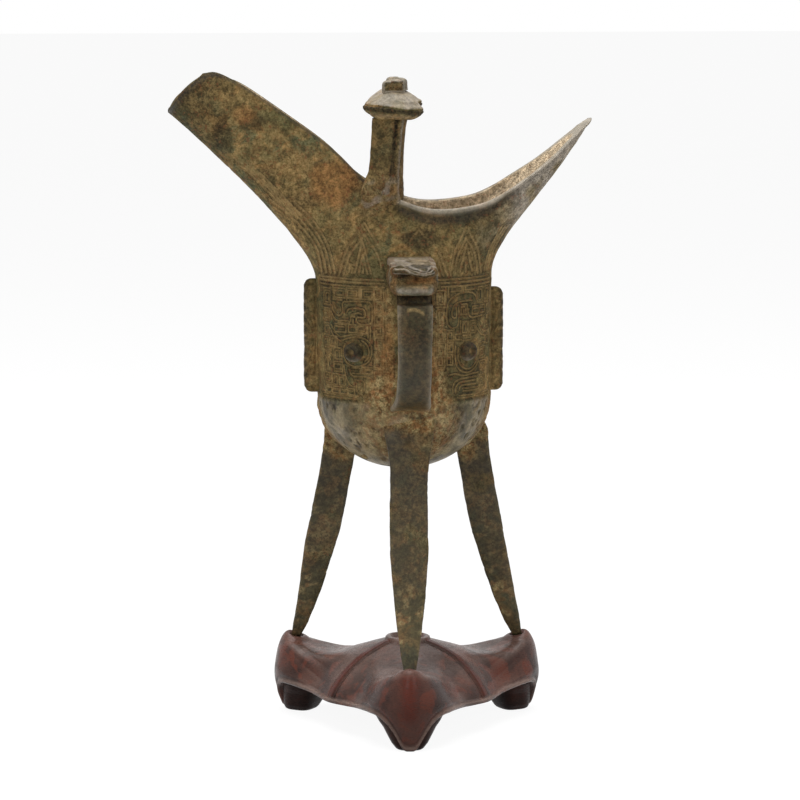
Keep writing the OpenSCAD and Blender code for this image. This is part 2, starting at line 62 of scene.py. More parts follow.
# Sizes in mm, measured from the bowl's axis: +X toward the tail, -Y toward the handle
HALF_LENGTH, HALF_WIDTH, WAIST, BELLY, POLE = 29.3, 25.0, 150.0, 112.0, 86.5
WALL, RIM = 2.6, 1.7
SPOUT_REACH, SPOUT_TIP, SPOUT_TOP, SPOUT_HALF = 77.4, 205.0, 218.8, 14.0
TAIL_REACH, TAIL_TIP, TAIL_LIP = 62.4, 201.5, 8.0
RIM_LOW, RIM_HALF = 173.4, 20.8
POST_X, POST_Y, POST_LEAN, FAR_SHIFT, FAR_DROP = -8.6, 19.5, 1.8, 4.8, 1.1
CAP_Z, CAP_H, CAP_D, CAP_SHIFT, FAR_KNOB = 203.6, 9.0, 19.8, 1.7, 1.4
HANDLE_REACH, STRAP_W, STRAP_T, STRAP_LOW, HEAD_Z = 44.0, 11.3, 4.6, 111.5, 146.6
LEG_ANGLES = [math.radians(a) for a in (-94.2, 145.8, 25.8)]
LEG_SHIFT, LEG_TIP_R, LEG_TIP_Z = 1.4, 43.4, 24.7
LOBE_R, BAY_R, SKIRT, STAND_H, LOBE_Z = 50.8, 30.8, 8.7, 28.2, 24.4
MASK_TURN, EYE_TURN, EYE_Z = 2.0, 41.0, 127.2
LEG_TIP_W, LEG_TIP_D, LEG_WIDE, LEG_DEEP = 3.9, 3.9 * 0.72, 12.3, 9.4
LINE_DEPTH = 0.42                 # of the cut lines
PANEL_RECESS = 0.95               # how much deeper the wall lies under a panel of the band
PANEL_T, PANEL_SINK = 1.25, 0.5   # a panel's thickness, and how far its border goes in


# ---- Numbers
def mix(a, b, f):
    return a + (b - a) * f


def clamp(v):
    return np.clip(v, 0.0, 1.0)


def ease(v):
    v = clamp(v)
    return v * v * (3 - 2 * v)


def rise(v, start, span):
    """0 before start, 1 a span later, smooth between"""
    return ease((v - start) / span)


def hill(v, middle, half):
    return np.exp(-(((v - middle) / half) ** 2))


def round_end(q):
    return np.sqrt(np.maximum(0.0, 1 - (1 - clamp(q)) ** 2))


def bezier(p, u):
    """Points of a cubic curve at parameters u"""
    u = np.asarray(u)[..., None]
    return ((1 - u) ** 3 * p[0] + 3 * u * (1 - u) ** 2 * p[1] + 3 * u * u * (1 - u) * p[2]
            + u ** 3 * p[3])


def along(p, f):
    """Points at shares f along a smooth curve through the points p"""
    p = np.asarray(p, float)
    g = clamp(np.asarray(f, float)) * (len(p) - 1)
    i = np.minimum(len(p) - 2, np.floor(g).astype(int))
    u = (g - i)[..., None]
    a, b, c, d = p[np.maximum(0, i - 1)], p[i], p[i + 1], p[np.minimum(len(p) - 1, i + 2)]
    return ((2 * b + (c - a) * u + (2 * a - 5 * b + 4 * c - d) * u ** 2
             + (3 * b - a - 3 * c + d) * u ** 3) / 2)


LATTICE = np.random.default_rng(11).random((40, 40, 40))


def noise(p, size, seed=0):
    """Smooth random values between 0 and 1 at points, with cells of a size in mm"""
    q = p / size + 500.37 + seed * 7.31
    i = np.floor(q).astype(int)
    f = q - i
    f = f * f * (3 - 2 * f)
    i %= 40
    j = (i + 1) % 40
    x, y, z = f[..., 0], f[..., 1], f[..., 2]
    i1, i2, j1, j2 = i[..., 1], i[..., 2], j[..., 1], j[..., 2]

    def edge(v, w):
        """Values between two corners of a cell, along x"""
        return LATTICE[i[..., 0], v, w] * (1 - x) + LATTICE[j[..., 0], v, w] * x
    return ((edge(i1, i2) * (1 - y) + edge(j1, i2) * y) * (1 - z)
            + (edge(i1, j2) * (1 - y) + edge(j1, j2) * y) * z)


def clouds(p, size, steps=3, seed=0):
    """Layered noise between -1 and 1"""
    total = sum(noise(p, size / 2 ** k, seed + k) * 0.5 ** k for k in range(steps))
    return total / sum(0.5 ** k for k in range(steps)) * 2 - 1


def patches(p, size, steps, seed, start, span):
    """Ragged patches, 1 inside and 0 outside"""
    return rise(clouds(p, size, steps, seed), start, span)


# ---- Meshes
def grid_faces(rows, cols):
    """Faces between rows of points, each row a closed ring"""
    r, c = np.meshgrid(np.arange(rows - 1), np.arange(cols), indexing="ij")
    c2 = (c + 1) % cols
    return np.stack([r * cols + c, r * cols + c2, (r + 1) * cols + c2, (r + 1) * cols + c],
                    -1).reshape(-1, 4)


def grid_normals(p, rings=True):
    """Normals of a grid of points, whose rows are closed rings or open lines"""
    across = np.roll(p, -1, 1) - np.roll(p, 1, 1) if rings else np.gradient(p, axis=1)
    n = np.cross(across, np.gradient(p, axis=0))
    return n / np.maximum(np.linalg.norm(n, axis=-1, keepdims=True), 1e-9)


def facing_out(p, centre):
    """Normals of a grid of points, turned away from a centre"""
    n = grid_normals(p)
    return -n if ((p - centre) * n).sum() < 0 else n


def push(p, n, distance):
    """Points moved along their normals"""
    return p + n * distance[..., None]


def over(p, values):
    """Values spread over a whole grid of points"""
    return np.broadcast_to(values, p.shape[:2])


def make_piece(name, points, faces, body, slot, marks, replaces=()):
    """A mesh piece from points in mm, measured from the bowl's axis

    The marks are values per point, which its material reads by name."""
    mesh = bpy.data.meshes.new(name)
    points = (np.asarray(points, float).reshape(-1, 3) + AXIS) / 1000
    mesh.from_pydata(points.tolist(), [], outward(points, faces))
    mesh.validate()
    mesh.update()
    piece = bpy.data.objects.new(name, mesh)
    bpy.context.scene.collection.objects.link(piece)
    mesh.materials.append(FINISH[slot])
    mesh.polygons.foreach_set("use_smooth", [True] * len(mesh.polygons))
    for key, values in marks.items():
        attribute = mesh.attributes.new(key, "FLOAT", "POINT")
        attribute.data.foreach_set("value", np.asarray(values, np.float32).ravel())
    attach(piece, body)
    if replaces:
        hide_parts(*replaces)


def loft(rings):
    """Points and faces of a closed loft through rings of points, with a fan at each end"""
    rows, cols = rings.shape[:2]
    points = np.concatenate([rings.reshape(-1, 3), rings[0].mean(0)[None], rings[-1].mean(0)[None]])
    return points, closed_faces(rows, cols)


def closed_faces(rows, cols):
    """Faces of a grid of rings, with a fan at each end to two more points"""
    faces, first, last = grid_faces(rows, cols).tolist(), rows * cols, (rows - 1) * cols
    faces += [[first, (c + 1) % cols, c] for c in range(cols)]
    faces += [[first + 1, last + c, last + (c + 1) % cols] for c in range(cols)]
    return faces


def loft_piece(name, rings, body, slot, marks, *replaces):
    """A lofted piece; its marks are values over the rings, and 0 at the ends' middles"""
    points, faces = loft(rings)
    marks = {key: np.append(over(rings, values), [0, 0]) for key, values in marks.items()}
    make_piece(name, points, faces, body, slot, marks, replaces)


def even(x, y, n):
    """n points evenly spaced along a closed outline"""
    x, y = np.append(x, x[0]), np.append(y, y[0])
    length = np.concatenate([[0], np.cumsum(np.hypot(np.diff(x), np.diff(y)))])
    q = np.arange(n) / n * length[-1]
    return np.interp(q, length, x), np.interp(q, length, y)


def outward(points, faces):
    """Turns the faces of a closed mesh so that they look outward"""
    p, volume = np.asarray(points), 0.0
    for size in (3, 4):
        corners = p[np.array([f for f in faces if len(f) == size])]
        for k in range(1, size - 1):
            volume += (corners[:, 0] * np.cross(corners[:, k], corners[:, k + 1])).sum()
    return faces if volume > 0 else [f[::-1] for f in faces]


def circle(n):
    """Angles of n points around a circle"""
    return np.linspace(0, 2 * np.pi, n, endpoint=False)


def squared(a, power_x, power_y):
    """A circle's points by angle, pressed outward into a rounded square"""
    return (np.sign(np.cos(a)) * np.abs(np.cos(a)) ** power_x,
            np.sign(np.sin(a)) * np.abs(np.sin(a)) ** power_y)


def turn(points, angle):
    """Points turned about the upright axis"""
    c, s = math.cos(angle), math.sin(angle)
    return np.asarray(points) @ np.array([[c, s, 0], [-s, c, 0], [0, 0, 1]])


# ---- Materials
def paint(material):
    """Short names for the nodes of a material"""
    material.use_nodes = True
    tree = material.node_tree
    tree.nodes.clear()

    class Kit:
        def put(self, socket, value):
            if isinstance(value, bpy.types.NodeSocket):
                tree.links.new(value, socket)
            elif value is not None:
                if hasattr(socket.default_value,
                           "__len__") and len(socket.default_value) == 4 and len(value) == 3:
                    value = (*value, 1)
                socket.default_value = value

        def node(self, kind, out=0, settings=(), **values):
            n = tree.nodes.new(kind)
            for k, v in dict(settings).items():
                setattr(n, k, v)
            for k, v in values.items():
                key = int(k[1:]) if k[0] == "i" and k[1:].isdigit() else k.replace("_", " ")
                self.put(n.inputs[key], v)
            return n.outputs[out]

        def place(self):
            return self.node("ShaderNodeTexCoord", "Object")

        def cloud(self, size, detail=3.0, rough=0.55, where=None, warp=0.0):
            return self.node("ShaderNodeTexNoise", 0, Vector=where or self.place(),
                             Scale=1000 / size,
                             Detail=detail, Roughness=rough, Distortion=warp)

        def mark(self, name):
            return self.node("ShaderNodeAttribute", "Fac", settings={"attribute_name": name})

        def math(self, what, a, b=None, c=None, clamp_it=False):
            return self.node("ShaderNodeMath", 0, settings={"operation": what,
                                                            "use_clamp": clamp_it}, i0=a, i1=b,
                             i2=c)

        def span(self, value, a, b, c=0.0, d=1.0):
            return self.node("ShaderNodeMapRange", 0, settings={"interpolation_type": "SMOOTHSTEP"},
                             Value=value, From_Min=a, From_Max=b, To_Min=c, To_Max=d)

        def blend(self, factor, a, b, way="MIX"):
            n = tree.nodes.new("ShaderNodeMix")
            n.data_type, n.blend_type = "RGBA", way
            self.put(n.inputs["Factor"], factor)
            self.put(n.inputs[6], a)
            self.put(n.inputs[7], b)
            return n.outputs[2]

        def stain(self, colour, mark, grain, span, tint):
            """A tint over a colour where a mark asks for it, broken up by a grain"""
            return self.blend(self.math("MULTIPLY", self.mark(mark), self.span(grain, *span)),
                              colour, tint)

        def bump(self, height, distance, strength=1.0, normal=None):
            return self.node("ShaderNodeBump", 0, Height=height, Distance=distance / 1000,
                             Strength=strength, Normal=normal)

        def finish(self, **values):
            n = tree.nodes.new("ShaderNodeBsdfPrincipled")
            for k, v in values.items():
                self.put(n.inputs[k.replace("_", " ")], v)
            out = tree.nodes.new("ShaderNodeOutputMaterial")
            tree.links.new(n.outputs[0], out.inputs[0])
    return Kit()


def bronze(name, light=1.0):
    """Old bronze: olive and ochre patina, brown where rubbed, a grey-green skin and earthy crust,
    with painted light and shade where the marks put it
    """
    m = bpy.data.materials.new(name)
    k = paint(m)
    c = lambda r, g, b: (r * light, g * light, b * light)
    broad, middle = k.cloud(13, 4, 0.6, warp=0.4), k.cloud(4.2, 4, 0.62)
    fine, grain = k.cloud(1.25, 4, 0.75), k.cloud(0.6, 3, 0.8)
    colour = k.blend(k.span(broad, 0.4, 0.6), c(0.07, 0.06, 0.025), c(0.165, 0.112, 0.045))
    colour = k.blend(k.span(middle, 0.44, 0.6, 0, 0.75), colour, c(0.1, 0.085, 0.037))
    colour = k.blend(k.span(k.cloud(6.5, 3, 0.6, warp=1.0), 0.54, 0.64, 0, 0.8), colour,
                     c(0.19, 0.112, 0.042))
    colour = k.blend(k.span(k.cloud(9, 4, 0.6, warp=0.8), 0.55, 0.64, 0, 0.7), colour,
                     c(0.057, 0.066, 0.034))
    colour = k.stain(colour, "ochre", fine, (0.36, 0.56, 0.4, 0.95), c(0.215, 0.138, 0.054))
    smooth = k.blend(k.span(k.cloud(7, 3, 0.5, warp=0.7), 0.42, 0.58), c(0.078, 0.064, 0.035),
                     c(0.185, 0.148, 0.085))
    colour = k.stain(colour, "skin", middle, (0.36, 0.52, 0.6, 1.0), smooth)
    # Dark: darker patina, and painted shade where a piece's marks put it
    colour = k.stain(colour, "dark", fine, (0.38, 0.6, 1.0, 0.75), c(0.024, 0.018, 0.01))
    colour = k.blend(k.math("MULTIPLY", k.mark("groove"), 0.85), colour, c(0.235, 0.16, 0.07))
    crust = k.blend(k.span(k.cloud(2.6, 3, 0.7), 0.42, 0.58), c(0.25, 0.19, 0.088),
                    c(0.17, 0.085, 0.034))
    colour = k.stain(colour, "crust", fine, (0.38, 0.55, 0.35, 1.0), crust)
    # Pale: lighter patina, and painted highlights where a piece's marks put it
    colour = k.stain(colour, "pale", middle, (0.36, 0.58, 0.7, 1.0), c(0.245, 0.213, 0.172))
    # A pale tan on the inside of the mouth: painted light falling in from above
    colour = k.stain(colour, "sand", fine, (0.34, 0.52, 0.55, 1.0), c(0.42, 0.345, 0.24))
    colour = k.stain(colour, "warm", fine, (0.34, 0.54, 0.6, 1.0), c(0.19, 0.092, 0.032))
    grit = k.math("ADD", k.math("MULTIPLY", fine, 0.5), k.math("MULTIPLY", grain, 0.5))
    strong, mild = k.span(grit, 0.39, 0.61, 0.6, 1.4), k.span(grit, 0.38, 0.62, 0.84, 1.14)
    mottle = k.span(k.cloud(2.9, 4, 0.65), 0.4, 0.6, 0.92, 1.52)
    plain = k.math("MAXIMUM", k.math("MULTIPLY", k.mark("rub"), 0.9),
                   k.math("MULTIPLY", k.mark("groove"), 0.55))
    colour = k.blend(1.0, colour, k.math("MULTIPLY", k.blend(plain, strong, mild),
                                         k.blend(plain, mottle, (1.15, 1.15, 1.15))), "MULTIPLY")
    rust = k.span(k.math("MULTIPLY", k.cloud(2.4, 3, 0.6), k.cloud(0.9, 2, 0.6)), 0.315, 0.375, 0,
                  0.45)
    colour = k.blend(k.math("MULTIPLY", rust, k.span(k.mark("rub"), 0.2, 0.7, 1.0, 0.1)), colour,
                     c(0.2, 0.07, 0.032))
    height = k.math("ADD", k.math("MULTIPLY", fine, 0.8), k.math("MULTIPLY", grain, 0.45))
    height = k.math("MULTIPLY", height, k.span(k.mark("rub"), 0, 1, 1.0, 0.2))
    rough = k.math("ADD", k.span(k.mark("rub"), 0, 1, 0.78, 0.36),
                   k.span(middle, 0.3, 0.7, -0.05, 0.08))
    k.finish(Base_Color=colour, Roughness=rough, Metallic=0.0,
             Specular_IOR_Level=k.span(k.mark("rub"), 0, 1, 0.08, 0.24),
             Normal=k.bump(height, 0.6, 0.9))
    return m


def wood(name):
    """Waxed dark hardwood: reddish brown, redder where it is rubbed and as painted highlight on
    ridges, greyish on the edges and upward slopes, partly painted highlight and sheen
    """
    m = bpy.data.materials.new(name)
    k = paint(m)
    where = k.node("ShaderNodeMapping", 0, Vector=k.place(), Scale=(1, 1, 3.5))
    broad, grain = k.cloud(14, 3, 0.5, warp=0.5), k.cloud(1.6, 4, 0.6, where=where)
    colour = k.blend(k.span(broad, 0.4, 0.6), (0.034, 0.0145, 0.0105), (0.082, 0.034, 0.024))
    colour = k.blend(k.span(k.cloud(8, 3, 0.5, warp=1.2), 0.5, 0.62, 0, 0.75), colour,
                     (0.12, 0.032, 0.018))
    # Red on ridges: partly the wood's tone, partly painted highlight
    colour = k.stain(colour, "red", broad, (0.3, 0.6, 0.55, 1.0), (0.085, 0.017, 0.009))
    # Greyish edges and upward slopes: partly wear and dust, partly painted highlight and sheen
    colour = k.stain(colour, "edge", broad, (0.36, 0.6, 0.7, 1.0), (0.235, 0.165, 0.135))
    # Near black where the dark mark asks: mostly painted shade
    colour = k.blend(k.math("MULTIPLY", k.mark("dark"), 0.95), colour, (0.012, 0.006, 0.005))
    colour = k.blend(k.span(grain, 0.48, 0.62, 0, 0.4), colour, (0.03, 0.014, 0.01))
    height = k.math("ADD", grain, k.math("MULTIPLY", k.cloud(0.5, 2, 0.6), 0.4))
    k.finish(Base_Color=colour, Roughness=k.span(grain, 0.36, 0.62, 0.26, 0.38),
             Specular_IOR_Level=k.span(k.mark("dark"), 0, 1, 0.17, 0.03),
             Normal=k.bump(height, 0.12, 0.6))
    return m


FINISH = {"bronze": bronze("old_bronze"), "dark_bronze": bronze("handled_bronze", 0.86),
          "wood": wood("waxed_wood")}


# ---- Neck: the same patch as the solid's, finer
def spout_keel(o):
    """The four control points of the spout's lower edge, moved in by o"""
    a, lift, run = HALF_LENGTH, SPOUT_TIP - WAIST, SPOUT_REACH - HALF_LENGTH
    return np.array([[-a + o, WAIST], [-a - 0.012 * run + o, WAIST + 0.175 * lift],
                     [-a - 0.482 * run + 0.7 * o, WAIST + 0.586 * lift + 0.7 * o],
                     [-SPOUT_REACH + 0.7 * o, SPOUT_TIP + 0.7 * o]])


RIM_LINE = [[-p * SPOUT_REACH, mix(RIM_LOW, SPOUT_TOP, q)] for p, q in
            ((0.852, 1), (0.8, 0.975), (0.698, 0.9), (0.483, 0.65), (0.31, 0.43), (0.176, 0.205),
             (0.039, 0.075))]
RIM_LINE += [[p * TAIL_REACH, mix(RIM_LOW, TAIL_TIP, q)] for p, q in
             ((0.138, 0), (0.4, 0.07), (0.55, 0.25), (0.742, 0.545), (0.859, 0.75), (1, 1))]
RIM_TABLE = along(RIM_LINE, np.linspace(0, 1, 400))


def rim_z(x):
    """The rim's height above x"""
    return np.interp(x, RIM_TABLE[:, 0], RIM_TABLE[:, 1])


def tail_keel(o):
    """The four control points of the tail's lower edge, moved in by o"""
    a, lift, run = HALF_LENGTH, TAIL_TIP - WAIST, TAIL_REACH - HALF_LENGTH
    lip = TAIL_LIP if o > 0 else 0
    return np.array([[a - o, WAIST], [a - 0.05 * run - o, WAIST + 0.212 * lift],
                     [a + 0.5 * run - 0.8 * o - lip * 0.4, WAIST + 0.505 * lift + 0.6 * o],
                     [TAIL_REACH - lip, float(rim_z(TAIL_REACH - lip))]])


def keel_x(p, z):
    """Where a keel is at heights z"""
    q = bezier(p, np.linspace(0, 1, 60))
    q = np.concatenate([q, (p[3] + 3 * (p[3] - bezier(p, 0.9)))[None]])
    return np.interp(z, q[:, 1], q[:, 0])


def mouth_width(x):
    """Half the mouth's width at x"""
    left = mix(SPOUT_HALF, RIM_HALF, rise(x, -37, 33))
    right = mix(RIM_HALF, RIM_HALF * 0.48, clamp((x - 14) / (TAIL_REACH - 14)) ** 1.25)
    return np.where(x < 0, left, right)


def half_width(x, z, inner):
    """Half the neck's width at points of its side view, outside or inside"""
    o = inner * mix(WALL, RIM, ease((z - WAIST) / 24))
    body = mix(HALF_WIDTH, mouth_width(x), ease((z - WAIST) / 22)) - o
    left = x - keel_x(spout_keel(inner * WALL), z)
    right = keel_x(tail_keel(inner * WALL), z) - x
    round_left = mix(HALF_LENGTH - o, 19 - o, ease((z - WAIST) / 20))
    round_right = mix(HALF_LENGTH - o, 10 - o, ease((z - WAIST) / 30))
    return body * round_end(left / round_left) * round_end(right / round_right)


TIP_SHARE, CORNER_X = 0.17, -0.852 * SPOUT_REACH


def top_line(s, o):
    """The neck's upper edge: up the spout's end, then along the rim to the tail"""
    tip, corner, last = spout_keel(o)[3], np.array([CORNER_X, SPOUT_TOP]), tail_keel(o)[3][0]
    f = clamp((s - TIP_SHARE) / (1 - TIP_SHARE))
    g = mix(1, 0.4, f)
    x = mix(CORNER_X, last, f * f * g + f * (1 - f * g))
    rim = np.stack([x, rim_z(x)], -1)
    end = tip + (corner - tip) * (1 - np.cos(np.radians(90 * clamp(s / TIP_SHARE))))[..., None]
    return np.where((s < TIP_SHARE)[..., None], end, rim)


def neck_patch(s, t, o):
    """The neck's side view: s from spout to tail, t from the waist to the rim"""
    w = ease(s)[..., None]
    tt = t[..., None]
    low = np.stack([-(HALF_LENGTH - o) * np.cos(np.pi * s), np.full_like(s, WAIST)], -1)
    high = top_line(s, o)
    left, right = bezier(spout_keel(o), t), bezier(tail_keel(o), t)
    ends = np.array([0.0, 1.0])
    low_a, low_b = np.array([-(HALF_LENGTH - o), WAIST]), np.array([HALF_LENGTH - o, WAIST])
    high_a, high_b = top_line(ends, o)
    return (mix(low, high, tt) + mix(left, right, w)
            - mix(mix(low_a, low_b, w), mix(high_a, high_b, w), tt))


def ring_params(n):
    """Shares and sides of the points of a ring: the near side, then back along the far side"""
    s = np.concatenate([np.arange(0, n + 1), np.arange(n - 1, 0, -1)]) / n
    side = np.concatenate([-np.ones(n + 1), np.ones(n - 1)])
    return s, side


def neck_rows(ts, n, inner):
    """Rings of the neck"""
    s, side = ring_params(n)
    S, Tt = (np.broadcast_to(s, (len(ts), len(s))),
             np.broadcast_to(np.asarray(ts)[:, None], (len(ts), len(s))))
    p = neck_patch(S, Tt, inner * WALL)
    # The tip is a little full in its middle, its upper corner rounded and lower on the far side
    p[..., 1] += 1.7 * (Tt - 0.3) * rise(p[..., 0], 46, 14)
    level = clamp((p[..., 1] - SPOUT_TIP) / (SPOUT_TOP - SPOUT_TIP))
    full = (np.where(side > 0, 0.9, 2.3) * hill(level, 0.6, 0.44)
            * rise(p[..., 1] - SPOUT_TIP, -3, 4))
    p[..., 0] -= full * ease(1 - (p[..., 0] + SPOUT_REACH) / 16)
    upper = rise(p[..., 1] - SPOUT_TOP, -12, 11)
    p[..., 1] -= np.where(side > 0, 3.9 * hill(p[..., 0], CORNER_X - 1, 8.5),
                          0.9 * hill(p[..., 0], CORNER_X - 0.6, 2.6)
                          - 0.5 * hill(p[..., 0], CORNER_X + 4.4, 3.4)) * upper
    y = half_width(p[..., 0], p[..., 1], inner)
    y = np.where(Tt == 0, (HALF_WIDTH - inner * WALL) * np.sin(np.pi * S), y)
    y = np.where((S == 0) | (S == 1), 0, y)
    return np.stack([p[..., 0], side * y, p[..., 1]], -1)


def bowl_rows(angles, n, o):
    """Rings of the bowl, by angle: up to 90 its round bottom, 120 at the waist"""
    s, side = ring_params(n)
    a = np.asarray(angles)
    low = a <= 90
    f = np.where(low, 0.965 * np.sin(np.radians(a)) ** 0.92, mix(0.965, 1, clamp((a - 90) / 30)))
    z = np.where(low, mix(BELLY, POLE + o, np.cos(np.radians(a))),
                 mix(BELLY, WAIST, clamp((a - 90) / 30)))
    x = -(HALF_LENGTH - o) * np.cos(np.pi * s)
    y = side * (HALF_WIDTH - o) * np.sin(np.pi * s)
    return np.stack([f[:, None] * x, f[:, None] * y,
                     np.broadcast_to(z[:, None], (len(a), len(s)))], -1)


# ---- Ornament: incised lines of the masks and blades, drawn on flat maps
def coil(u0, z0, u1, z1, way=1, start=0, pitch=0.8):
    """A squared spiral that winds inward inside a box; start is its first corner, way its sense"""
    w, h = (u1 - u0, z1 - z0) if start % 2 == 0 else (z1 - z0, u1 - u0)
    x0, x1, y0, y1 = 0.0, w, 0.0, h
    pts, x, y, side = [(0.0, h)], 0.0, h, 0
    while x1 - x0 > pitch * 0.4 and y1 - y0 > pitch * 0.4:
        if side == 0:
            x, y1 = x1, y1 - pitch
        elif side == 1:
            y, x1 = y0, x1 - pitch
        elif side == 2:
            x, y0 = x0, y0 + pitch
        else:
            y, x0 = y1, x0 + pitch
        pts.append((x, y))
        side = (side + 1) % 4
    p = np.array(pts) - [w / 2, h / 2]
    if way < 0:
        p[:, 0] *= -1
    for _ in range(start % 4):
        p = np.stack([p[:, 1], -p[:, 0]], 1)
    return p + [(u0 + u1) / 2, (z0 + z1) / 2]


def curve(points, n=10):
    return along(points, np.linspace(0, 1, n * len(points)))


def mask_spout_side():
    """Lines of the near mask's half that looks to the spout"""
    c = [curve(q) for q in (
        [(-24, 143.7), (-20, 144), (-15.6, 144.1), (-14.1, 143.6), (-13.5, 142), (-13.5, 138.2),
         (-14.2, 136.9), (-16.4, 136.5), (-18.4, 136.8), (-19.1, 137.8), (-18.7, 138.8),
         (-16.6, 138.8), (-16, 139.4), (-16.1, 140.9), (-17, 141.7), (-20.5, 141.7), (-22.2, 141.2),
         (-22.9, 140.2)],
        [(-29.4, 142.4), (-28.8, 140.6), (-27.6, 139.4), (-26, 139), (-24.9, 139.7), (-24.4, 141.2),
         (-24.6, 142.8), (-24, 143.7)],
        [(-29.9, 140.2), (-28.6, 138.3), (-26.8, 137.3), (-24, 137.5), (-22.2, 137.4),
         (-21.8, 136.8)],
        [(-26.6, 136.7), (-24, 136.6), (-21.9, 136.6)],
        [(-29.8, 135.7), (-28.7, 133.9), (-27.1, 132.7), (-25.3, 132), (-23.2, 132.5), (-21, 132.9),
         (-17, 133)],
        [(-30.4, 134.4), (-29, 132.4), (-27.2, 131.2), (-25.4, 130.7), (-23.7, 131.4)],
        [(-23.7, 131.4), (-21, 132.1), (-18, 132.2), (-15.5, 131.4), (-14, 129.5), (-13.9, 126.8),
         (-15, 124.4), (-17.5, 122.9), (-20.2, 122.5), (-22.8, 123.4), (-24.4, 125.4),
         (-24.6, 127.6), (-23.7, 129.8)],
        [(-17.2, 131.2), (-15.6, 130), (-14.8, 128), (-15, 126), (-16.2, 124.4)],
        [(-33.9, 120.4), (-34.1, 123), (-33.1, 125.4), (-31.2, 126.5), (-29.6, 125.8),
         (-28.9, 124.1), (-29.2, 121.8)],
        [(-32.4, 120.9), (-32.6, 123), (-31.6, 124.7), (-30.6, 124.3), (-30.6, 122.4)],
        [(-24.3, 122.8), (-24, 120.8), (-23.6, 119), (-22.6, 117), (-21.2, 115.9), (-20.3, 115.8)],
        [(-22.3, 121.4), (-21.4, 119.7), (-19.8, 119.1), (-16, 119.3), (-14.2, 118.8),
         (-13.2, 117.2), (-13.2, 115)],
        [(-20.2, 117.9), (-18.2, 118), (-16.9, 117.7), (-16.4, 116.4), (-16.5, 114.6)],
        [(-19.4, 117), (-19.4, 115), (-18.6, 113.6), (-17.4, 113.3)])]
    c += [np.array(q) for q in (
        [(-20.9, 139.6), (-18.4, 140.3), (-17.3, 140)],
        [(-21.3, 137.3), (-21.3, 138.9), (-19.7, 139)], [(-20.4, 136.2), (-20.4, 138.1)],
        [(-15.1, 132.2), (-15.1, 136)], [(-14.2, 131.6), (-14.2, 136)],
        [(-9, 148), (-9, 119.6), (-10.2, 119.6)], [(-17.6, 148.6), (-17.6, 144.8)],
        [(-22.8, 148.6), (-22.8, 144.4)], [(-28.6, 148.6), (-28.6, 144.2), (-24.6, 144.2)],
        [(-13, 148.4), (-13, 144.6)])]
    c += [coil(*q) for q in (
        (-28, 144.9, -23.4, 148, 1, 0), (-22.3, 145, -18.1, 148.2, 1, 0),
        (-17.1, 144.9, -13.5, 148.2, -1, 0), (-12.7, 145, -9.7, 148.2, 1, 1),
        (-12.7, 140.4, -9.9, 144.2, -1, 0), (-12.7, 136.8, -9.9, 139.8, 1, 1),
        (-12.9, 132.7, -9.9, 136.3, 1, 0), (-12.7, 129.1, -9.9, 132.2, -1, 0),
        (-12.7, 125.5, -9.9, 128.6, 1, 0), (-12.9, 122.4, -9.9, 125, -1, 1),
        (-12.9, 119.8, -10.6, 121.9, 1, 0), (-28.2, 133.6, -23.2, 136.2, 1, 0),
        (-22.2, 133.7, -19.3, 136.3, -1, 0), (-18.7, 133.6, -15.6, 135.8, 1, 1),
        (-30.4, 128.6, -27.2, 132, -1, 1), (-28.7, 124.5, -25.3, 128.2, 1, 3),
        (-33.8, 128, -31, 131.4, 1, 0), (-34, 132.2, -31, 136, -1, 0),
        (-34.2, 137, -30.6, 141, 1, 0), (-34.2, 142.2, -30.2, 147.6, -1, 0),
        (-28.8, 120.4, -24.9, 123.6, 1, 0), (-33.5, 116.2, -30.3, 119.6, 1, 0),
        (-29.7, 116, -26.7, 119.5, -1, 1), (-26.3, 115.9, -23.8, 119.3, 1, 0),
        (-33.2, 113.2, -30.2, 115.5, -1, 0), (-29.7, 113.1, -26.6, 115.3, 1, 0),
        (-26.2, 113.1, -23.1, 115.3, -1, 0), (-22.6, 113, -20.2, 115, 1, 0),
        (-21, 120.2, -18, 122, 1, 0), (-17.4, 120.3, -13.8, 122.4, -1, 0))]
    return c


